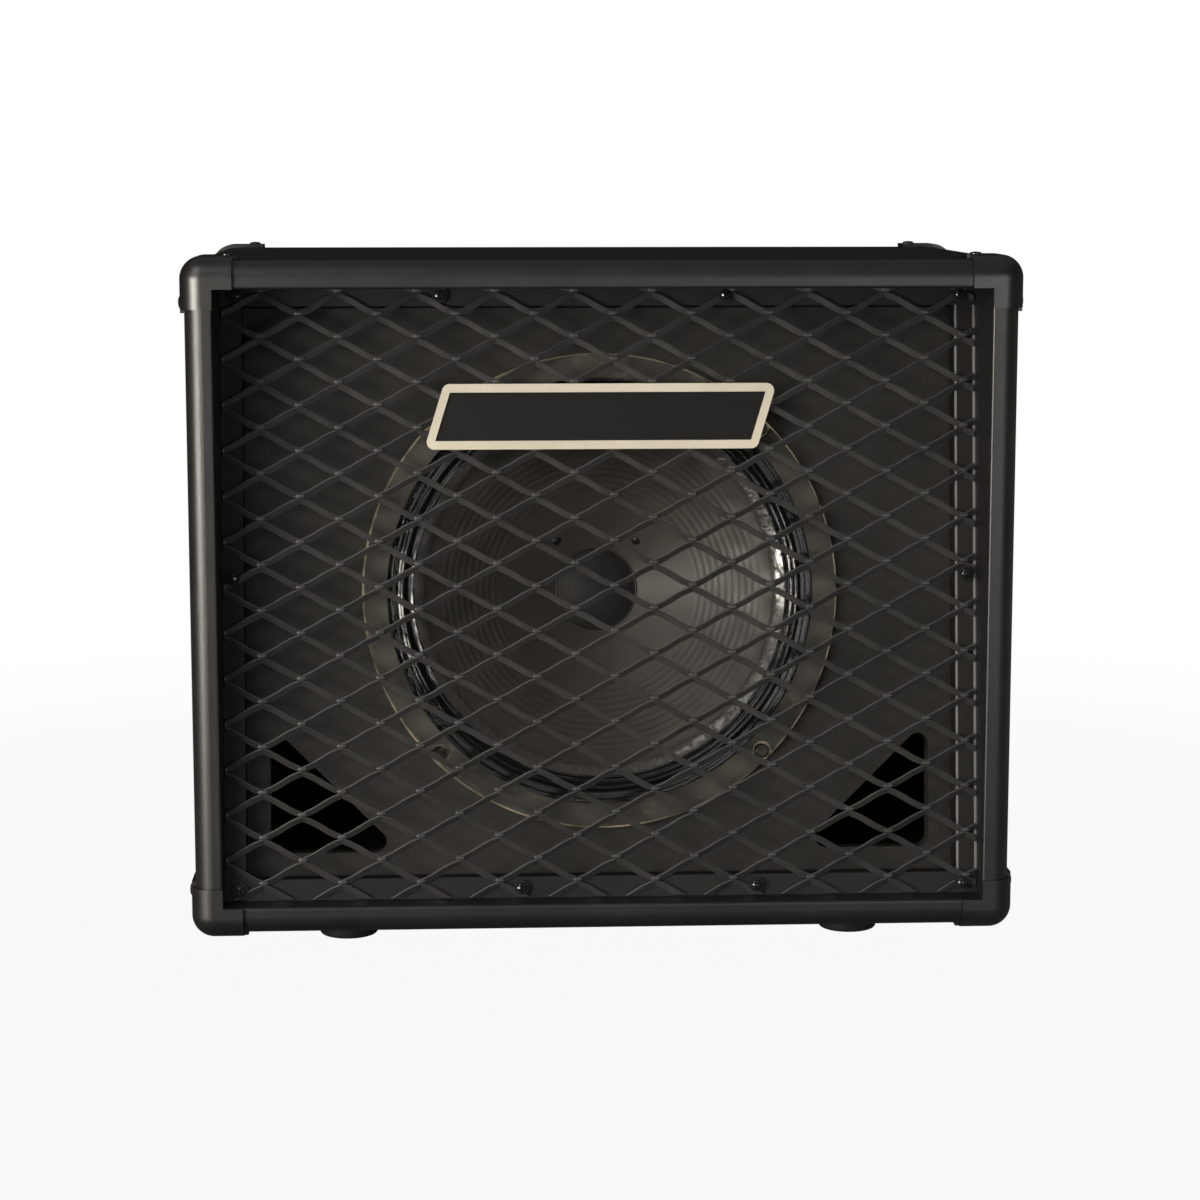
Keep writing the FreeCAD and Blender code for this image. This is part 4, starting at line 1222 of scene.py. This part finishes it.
@dataclass
class Driver:
    """The speaker: ribbed paper cone, doped surround, dust cap and frame; lengths are in metres."""

    plane: LeanPlane
    round_steps: int = 180

    # Cone: paper with pressed ribs, and a doped roll at its edge
    paper: float = 1.0 * MM
    neck_steps: int = 6
    rib_pitch: float = 4.2 * MM
    rib_height: float = 0.11 * MM
    rib_inner: float = 62.0 * MM
    rib_outer: float = 108.0 * MM
    rib_fade: float = 7.0 * MM
    rib_steps: int = 8
    roll_width: float = 8.5 * MM
    roll_height: float = 0.5 * MM
    roll_steps: int = 10
    dope_share: float = 0.4
    dope: Colour = (0.05, 0.046, 0.04)

    # Surround: each bend has its share of the width from the inner edge, and its height in millimetres
    surround_shell: float = 0.5 * MM
    surround_steps: int = 4
    surround_bends: tuple[tuple[float, float], ...] = (
        (1.0, 0.5), (0.9, 0.5), (0.84, 0.66), (0.78, 0.72), (0.72, 0.6), (0.66, 0.62), (0.6, 0.7),
        (0.54, 1.1), (0.48, 1.75), (0.42, 1.9), (0.35, 1.1), (0.28, -0.1),
        (0.21, -0.85), (0.14, -1.0), (0.08, -0.6), (0.04, -0.45), (-0.04, -0.65),
    )
    still_level: float = 0.25 * MM
    moving_level: float = -0.3 * MM

    # Glue: a bead round the dust cap, and blobs with a profile in shares of their radius and height
    bead: float = 0.7 * MM
    bead_gap: float = 0.2 * MM
    bead_lift: float = 0.3 * MM
    bead_steps: int = 10
    eyelet_radius: float = 41.7 * MM
    eyelet_degrees: float = 39.0
    blob_radius: float = 3.0 * MM
    blob_height: float = 1.1 * MM
    blob_steps: int = 20
    blob_profile: tuple[tuple[float, float], ...] = (
        (0.0, 1.0), (0.5, 0.8), (0.85, 0.4), (1.0, 0.0), (0.6, -0.4), (0.0, -0.4),
    )

    def __post_init__(self) -> None:
        """Measures the cone in the frame."""
        radii, levels = self.plane.polar("speaker_cone")
        self.edge, self.neck = float(radii.max()), float(radii.min())
        self.edge_level = float(levels[radii > self.edge - SAME_RIM].max())
        self.neck_level = float(levels[radii < self.neck + SAME_RIM].max())

    def level(self, radius: float) -> float:
        """Height of the cone's front without its ribs."""
        share = (radius - self.neck) / (self.edge - self.neck)
        return self.neck_level + share * (self.edge_level - self.neck_level)

    def rib(self, radius: float) -> float:
        """Height of the pressed ribs.

        Args:
            radius: distance from the cone's axis.

        Returns:
            The height, which fades out at both ends of the ribbed band.
        """
        inside = min(1.0, max(0.0, (radius - self.rib_inner) / self.rib_fade))
        outside = min(1.0, max(0.0, (self.rib_outer - radius) / self.rib_fade))
        return self.rib_height * inside * outside * math.sin(2 * math.pi * radius / self.rib_pitch)

    def roll(self, radius: float) -> float:
        """Height of the doped roll at the cone's edge."""
        share = 1 - (self.edge - radius) / self.roll_width
        return self.roll_height * math.sin(math.pi * share) if share > 0 else 0.0

    def turned(self, name: str, front: Profile, thickness: float, finish: Finish) -> bpy.types.Object:
        """Turns a line into a shell about the speaker's axis.

        Args:
            name: the piece's name.
            front: radius and height of the points on the shell's front.
            thickness: how far the back lies behind the front.
            finish: the shell's finish.

        Returns:
            The new object.
        """
        back = [(radius, height - thickness) for radius, height in reversed(front)]
        work = lathe(front + back, self.round_steps, True)
        return mesh_object(name, work, self.plane.matrix(), finish)

    def cone(self) -> bpy.types.Object:
        """Builds the ribbed cone in place of the plain one.

        Returns:
            The piece.
        """
        band, start = self.rib_outer - self.rib_inner, self.edge - self.roll_width
        count = math.ceil(band / self.rib_pitch * self.rib_steps)
        ribbed = [self.rib_inner + band * k / count for k in range(count + 1)]
        bare = self.rib_inner - self.neck
        inner = [self.neck + bare * k / self.neck_steps for k in range(self.neck_steps)]
        steps = self.roll_steps
        shoulder = [self.edge - self.roll_width * (1 - k / steps) for k in range(steps + 1)]
        radii = inner + ribbed + shoulder
        front = [(radius, self.level(radius) + self.rib(radius) + self.roll(radius)) for radius in radii]
        finish = RingedFinish(
            **Finishes.paper.__dict__, middle=self.plane.middle, axis=self.plane.out,
            reach=(start, start + self.dope_share * self.roll_width), dope=self.dope,
        )
        obj = self.turned("ribbed_cone", front, self.paper, finish)
        return fix(obj, CONE, "cone_paper", "speaker_cone")

    def surround(self) -> bpy.types.Object:
        """Builds the doped rolls, which stretch between the frame and the cone.

        Returns:
            The piece.
        """
        radii, levels = self.plane.polar("cone_surround")
        outer, inner = float(radii.max()), float(radii.min())
        flange = float(levels[radii > outer - SAME_RIM].min())
        bends = [
            Vector((inner + (outer - inner) * share, flange + height * MM))
            for share, height in self.surround_bends
        ]
        front = self.smooth_line(bends, self.surround_steps)
        obj = self.turned("doped_surround", front, self.surround_shell, Finishes.doped)
        still = self.plane.point(0, 0, flange + self.still_level)
        moving = self.plane.point(0, 0, flange + self.moving_level)
        stretch(obj, "doped_paper", "cone_surround", still, moving)
        return obj

    @staticmethod
    def smooth_line(points: Sequence[Vector], steps: int) -> Profile:
        """Line through points with rounded bends.

        Args:
            points: the points that the line passes.
            steps: points on each stretch.

        Returns:
            The line as radius and height.
        """
        line = []
        last = len(points) - 1
        for k in range(last):
            before, start = points[max(k - 1, 0)], points[k]
            end, after = points[k + 1], points[min(k + 2, last)]
            for step in range(steps):
                t = step / steps
                place = 0.5 * (
                    2 * start + (end - before) * t
                    + (2 * before - 5 * start + 4 * end - after) * t * t
                    + (3 * start - before - 3 * end + after) * t ** 3
                )
                line.append((place.x, place.y))
        line.append((points[-1].x, points[-1].y))
        return line

    def glue(self) -> bpy.types.Object:
        """Builds the bead round the dust cap and the blobs over the lead eyelets.

        Returns:
            The piece.
        """
        rim = float(self.plane.polar("dust_cap")[0].max())
        middle, level = rim + self.bead_gap, self.level(rim) + self.bead_lift
        around = turns(self.bead_steps)
        ring = [(middle + self.bead * math.cos(a), level + self.bead * math.sin(a)) for a in around]
        work = lathe(ring, self.round_steps // 2, True)
        slope = math.atan2(self.edge_level - self.neck_level, self.edge - self.neck)
        dome = [(self.blob_radius * wide, self.blob_height * high) for wide, high in self.blob_profile]
        for side in (-1, 1):
            angle = math.radians(90 - side * self.eyelet_degrees)
            blob = lathe(dome, self.blob_steps, False)
            tip = Matrix.Rotation(-slope, 4, "Y")
            out = Matrix.Translation((self.eyelet_radius, 0, self.level(self.eyelet_radius)))
            blob.transform(Matrix.Rotation(angle, 4, "Z") @ out @ tip)
            mesh = bpy.data.meshes.new("blob")
            blob.to_mesh(mesh)
            blob.free()
            work.from_mesh(mesh)
            bpy.data.meshes.remove(mesh)
        obj = mesh_object("cone_glue", work, self.plane.matrix(), Finishes.glue)
        return fix(obj, CONE, "cap_paper")

    def build(self) -> None:
        """Builds the moving pieces and dresses the rest of the speaker."""
        self.cone()
        self.surround()
        self.glue()
        dress_nodes(Finishes.felt, "dust_cap")
        dress_nodes(Finishes.frame_metal, "speaker_frame")
        dress_nodes(Finishes.gasket, "speaker_gasket")
        dress_nodes(Finishes.bolt, "speaker_bolts", "tee_nuts")
        dress_nodes(Finishes.alloy, "coil_former")
        dress_nodes(Finishes.copper, "coil_winding")
        dress_nodes(Finishes.cloth, "spider")
        dress_nodes(Finishes.magnet_metal, "top_plate", "back_plate")
        dress_nodes(Finishes.ferrite, "magnet_ring")
        dress_nodes(Finishes.phenolic, "terminal_board")


@dataclass
class Wiring:
    """Leads from the input jack to the terminal board and on to the cone; lengths are in metres."""

    plane: LeanPlane
    line_steps: int = 12
    line_order: int = 3
    lead_radius: float = 1.8 * MM
    lead_facets: int = 3
    tinsel_radius: float = 0.8 * MM
    tinsel_sides: int = 8
    tinsel_still: float = 95.0 * MM
    tinsel_moving: float = 40.0 * MM
    leads: tuple[tuple[Point, ...], ...] = (
        (
            (0.02325, 0.107, 0.123), (0.02325, 0.081, 0.123), (0.027, 0.0531, 0.18082),
            (0.039, 0.04953, 0.24073), (0.031, 0.03529, 0.29594), (-0.014, 0.0263, 0.35678),
            (-0.008, -0.01916, 0.35285), (-0.008, -0.0357, 0.33278),
        ),
        (
            (0.03275, 0.107, 0.123), (0.03275, 0.081, 0.123), (0.039, 0.0531, 0.18082),
            (0.051, 0.04953, 0.24073), (0.043, 0.03529, 0.29594), (0.014, 0.0263, 0.35678),
            (0.008, -0.01916, 0.35285), (0.008, -0.0357, 0.33278),
        ),
    )
    tinsel: tuple[Point, ...] = (
        (0.008, -0.04047, 0.327), (0.008, -0.0481, 0.31774), (0.01844, -0.03771, 0.29744),
        (0.02304, -0.03226, 0.2766), (0.02624, -0.03326, 0.2606), (0.02624, -0.04393, 0.25589),
    )

    def line(self, name: str, points: Sequence[Point]) -> bpy.types.Object:
        """A curve of one smooth open spline.

        Args:
            name: the curve's name.
            points: the spline's control points.

        Returns:
            The curve, with no bevel.
        """
        curve = bpy.data.curves.new(name, "CURVE")
        curve.dimensions = "3D"
        curve.resolution_u = self.line_steps
        spline = curve.splines.new("NURBS")
        spline.points.add(len(points) - 1)
        for knot, point in zip(spline.points, points):
            knot.co = (*point, 1.0)
        spline.order_u = self.line_order
        spline.use_endpoint_u = True
        return new_object(name, curve)

    @staticmethod
    def traced(obj: bpy.types.Object) -> list[Vector]:
        """Points along a curve.

        Args:
            obj: a curve that has no bevel.

        Returns:
            The points, in order.
        """
        mesh = evaluated_mesh(obj)
        points = [vertex.co.copy() for vertex in mesh.vertices]
        bpy.data.meshes.remove(mesh)
        return points

    @staticmethod
    def run_length(points: Sequence[Vector]) -> float:
        """Length of a line of points."""
        return sum((second - first).length for first, second in zip(points, points[1:]))

    def speaker_lead(self, name: str, points: Sequence[Point]) -> bpy.types.Object:
        """Builds one insulated lead as a round curve.

        Args:
            name: the piece's name.
            points: the lead's route.

        Returns:
            The curve.
        """
        obj = self.line(name, points)
        length = self.run_length(self.traced(obj))
        obj.data.bevel_depth = self.lead_radius
        obj.data.bevel_resolution = self.lead_facets
        obj.data.use_fill_caps = True
        obj.data.materials.append(Finishes.lead.material())
        fix(obj, CABINET, "lead_rubber", "speaker_leads")
        2 * self.lead_radius
        return obj

    def tinsel_lead(self, side: int) -> bpy.types.Object:
        """Builds one limp lead as a tube from the board to the cone.

        Args:
            side: -1 for the left lead and 1 for the right one, seen from the front.

        Returns:
            The tube.
        """
        guide = self.line("tinsel_guide", [(side * x, y, z) for x, y, z in self.tinsel])
        path = self.traced(guide)
        bpy.data.objects.remove(guide)
        around = turns(self.tinsel_sides)
        first = (path[1] - path[0]).normalized().orthogonal()
        rows = []
        for k, point in enumerate(path):
            ahead = (path[min(k + 1, len(path) - 1)] - path[max(k - 1, 0)]).normalized()
            first = (first - ahead * first.dot(ahead)).normalized()
            second = ahead.cross(first)
            ways = [first * math.cos(turn) + second * math.sin(turn) for turn in around]
            rows.append([point + self.tinsel_radius * way for way in ways])
        work = bmesh.new()
        tube(work, rows)
        bmesh.ops.recalc_face_normals(work, faces=work.faces)
        name = "tinsel_lead_left" if side < 0 else "tinsel_lead_right"
        obj = mesh_object(name, work, finish=Finishes.tinsel)
        still = self.plane.point(0, self.tinsel_still, 0)
        moving = self.plane.point(0, self.tinsel_moving, 0)
        stretch(obj, "tinsel", "tinsel_leads", still, moving)
        2 * self.tinsel_radius
        return obj

    def build(self) -> None:
        """Builds both pairs of leads."""
        for name, points in zip(("speaker_lead_left", "speaker_lead_right"), self.leads):
            self.speaker_lead(name, points)
        for side in (-1, 1):
            self.tinsel_lead(side)


@dataclass
class Lamp:
    """One soft rectangular light; lengths are in metres.

    A lamp that isn't mirrored shows in no gloss, and one that isn't spread gives no soft light.
    """

    name: str
    place: Point
    aim: Point
    size: tuple[float, float]
    power: float
    colour: Colour = (1.0, 1.0, 1.0)
    mirrored: bool = True
    spread: bool = True

    def build(self) -> bpy.types.Object:
        """Adds the lamp, turned to its aim.

        Returns:
            The lamp.
        """
        light = bpy.data.lights.new(self.name, "AREA")
        light.shape = "RECTANGLE"
        light.size, light.size_y = self.size
        light.energy = self.power
        light.color = self.colour
        obj = new_object(self.name, light)
        obj.location = self.place
        obj.rotation_euler = (Vector(self.aim) - Vector(self.place)).to_track_quat("-Z", "Y").to_euler()
        obj.visible_camera = False
        obj.visible_glossy = self.mirrored
        obj.visible_diffuse = self.spread
        return obj


@dataclass
class Studio:
    """White room, lamps and camera; lengths are in metres and angles in degrees."""

    camera_place: Point = (-0.09725, -1.9774, 0.50073)
    camera_yaw: float = -2.954
    camera_pitch: float = 8.366
    lens: float = 87.83
    sensor: float = 36.0
    floor_half: float = 6.0
    floor_drop: float = 0.0002
    floor_grey: float = 0.08
    floor_roughness: float = 0.9
    floor_white: float = 0.94
    floor_fade: tuple[float, float] = (0.5, 1.3)
    reflected: float = 0.03
    ambient: float = 0.06
    ceiling_rise: tuple[float, float] = (0.45, 0.9)
    ceiling_white: float = 0.2
    horizon: float = 0.009
    lamps: tuple[Lamp, ...] = (
        Lamp(
            "low_left", (-1.7, -1.9, 0.25), (0.0, -0.1, 0.24), (1.2, 0.42), 80.0,
            (1.0, 0.94, 0.85), spread=False,
        ),
        Lamp(
            "high_left", (-1.5, -1.9, 2.2), (0.0, -0.1, 0.24), (1.6, 1.4), 24.0,
            (1.0, 0.96, 0.9), spread=False,
        ),
        Lamp(
            "soft_left", (-1.7, -1.9, 0.6), (-0.1, -0.1, 0.22), (2.4, 1.8), 78.0,
            (1.0, 0.95, 0.88), mirrored=False,
        ),
        Lamp("low_right", (0.8, -2.1, 0.22), (0.2, -0.1, 0.24), (1.0, 0.6), 9.0),
        Lamp("soft_fill", (-0.7, -2.3, 1.6), (0.0, -0.1, 0.25), (2.0, 1.2), 13.0, mirrored=False),
        Lamp("soft_right", (2.4, 0.5, 0.7), (0.2, 0.05, 0.24), (1.4, 1.0), 60.0, mirrored=False),
        Lamp("soft_rear", (0.4, 2.4, 0.7), (0.0, 0.1, 0.24), (1.8, 1.0), 75.0, mirrored=False),
    )

    def floor(self) -> bpy.types.Object:
        """Adds the pale floor, which keeps a soft shadow.

        Returns:
            The floor, which is no part of the object.
        """
        half = self.floor_half
        work = bmesh.new()
        corners = [(-half, -half), (half, -half), (half, half), (-half, half)]
        work.faces.new([work.verts.new((x, y, -self.floor_drop)) for x, y in corners])
        obj = mesh_object("studio_floor", work)
        shader = Shader("studio_white")
        grey = (self.floor_grey, self.floor_grey, self.floor_grey, 1.0)
        shader.set(Base_Color=grey, Roughness=self.floor_roughness, Specular_IOR_Level=0.0)
        camera, mirrored = shader.rays()
        seen = camera.or_more(mirrored * self.reflected)
        far = shader.between(shader.radius(Vector(), Vector((0, 0, 1))), *self.floor_fade)
        glow = shader.result("ShaderNodeEmission", None, {"Color": WHITE, "Strength": 1.0})
        share = seen * (self.floor_white + (1 - self.floor_white) * far)
        sockets = {0: share, 1: Expr(shader, shader.skin.outputs[0]), 2: glow}
        surface = shader.tree.nodes["Material Output"].inputs["Surface"]
        shader.feed(surface, shader.result("ShaderNodeMixShader", None, sockets))
        obj.data.materials.append(shader.material)
        return obj

    def world(self) -> None:
        """Adds a white backdrop for the camera, a dim room in reflections and a dim even light."""
        world = bpy.data.worlds.new("white_room")
        world.use_nodes = True
        bpy.context.scene.world = world
        graph = Graph(world.node_tree)
        camera, mirrored = graph.rays()
        way = graph.result("ShaderNodeTexCoord", output="Generated")
        rise = graph.result("ShaderNodeSeparateXYZ", None, {"Vector": way}, "Z")
        ceiling = graph.between(rise, *self.ceiling_rise) * self.ceiling_white
        even = (1 - mirrored) * self.ambient
        back = world.node_tree.nodes["Background"]
        graph.feed(back.inputs["Color"], WHITE)
        strength = camera.or_more(mirrored * (ceiling + self.horizon)).or_more(even)
        graph.feed(back.inputs["Strength"], strength)

    def camera(self) -> bpy.types.Object:
        """Adds the camera at the photograph's viewpoint.

        Returns:
            The camera.
        """
        data = bpy.data.cameras.new("viewpoint")
        data.lens = self.lens
        data.sensor_width = self.sensor
        obj = new_object("viewpoint", data)
        obj.location = self.camera_place
        obj.rotation_euler = (math.radians(90 - self.camera_pitch), 0.0, math.radians(self.camera_yaw))
        bpy.context.scene.camera = obj
        return obj

    def build(self) -> None:
        """Sets up the room, lamps, camera and plain view."""
        bpy.context.scene.view_settings.view_transform = "Standard"
        self.floor()
        self.world()
        for lamp in self.lamps:
            lamp.build()
        self.camera()


def main() -> None:
    """Builds the studio and the cabinet's pieces in order."""
    logging.basicConfig(level=logging.INFO, format="%(name)s %(message)s")
    plane = LeanPlane.of_grille()
    Studio().build()
    Wiring(plane).build()
    Carcass().build()
    Grille(plane).build()
    Fittings().build()
    Driver(plane).build()


if __name__ == "__main__":
    main()
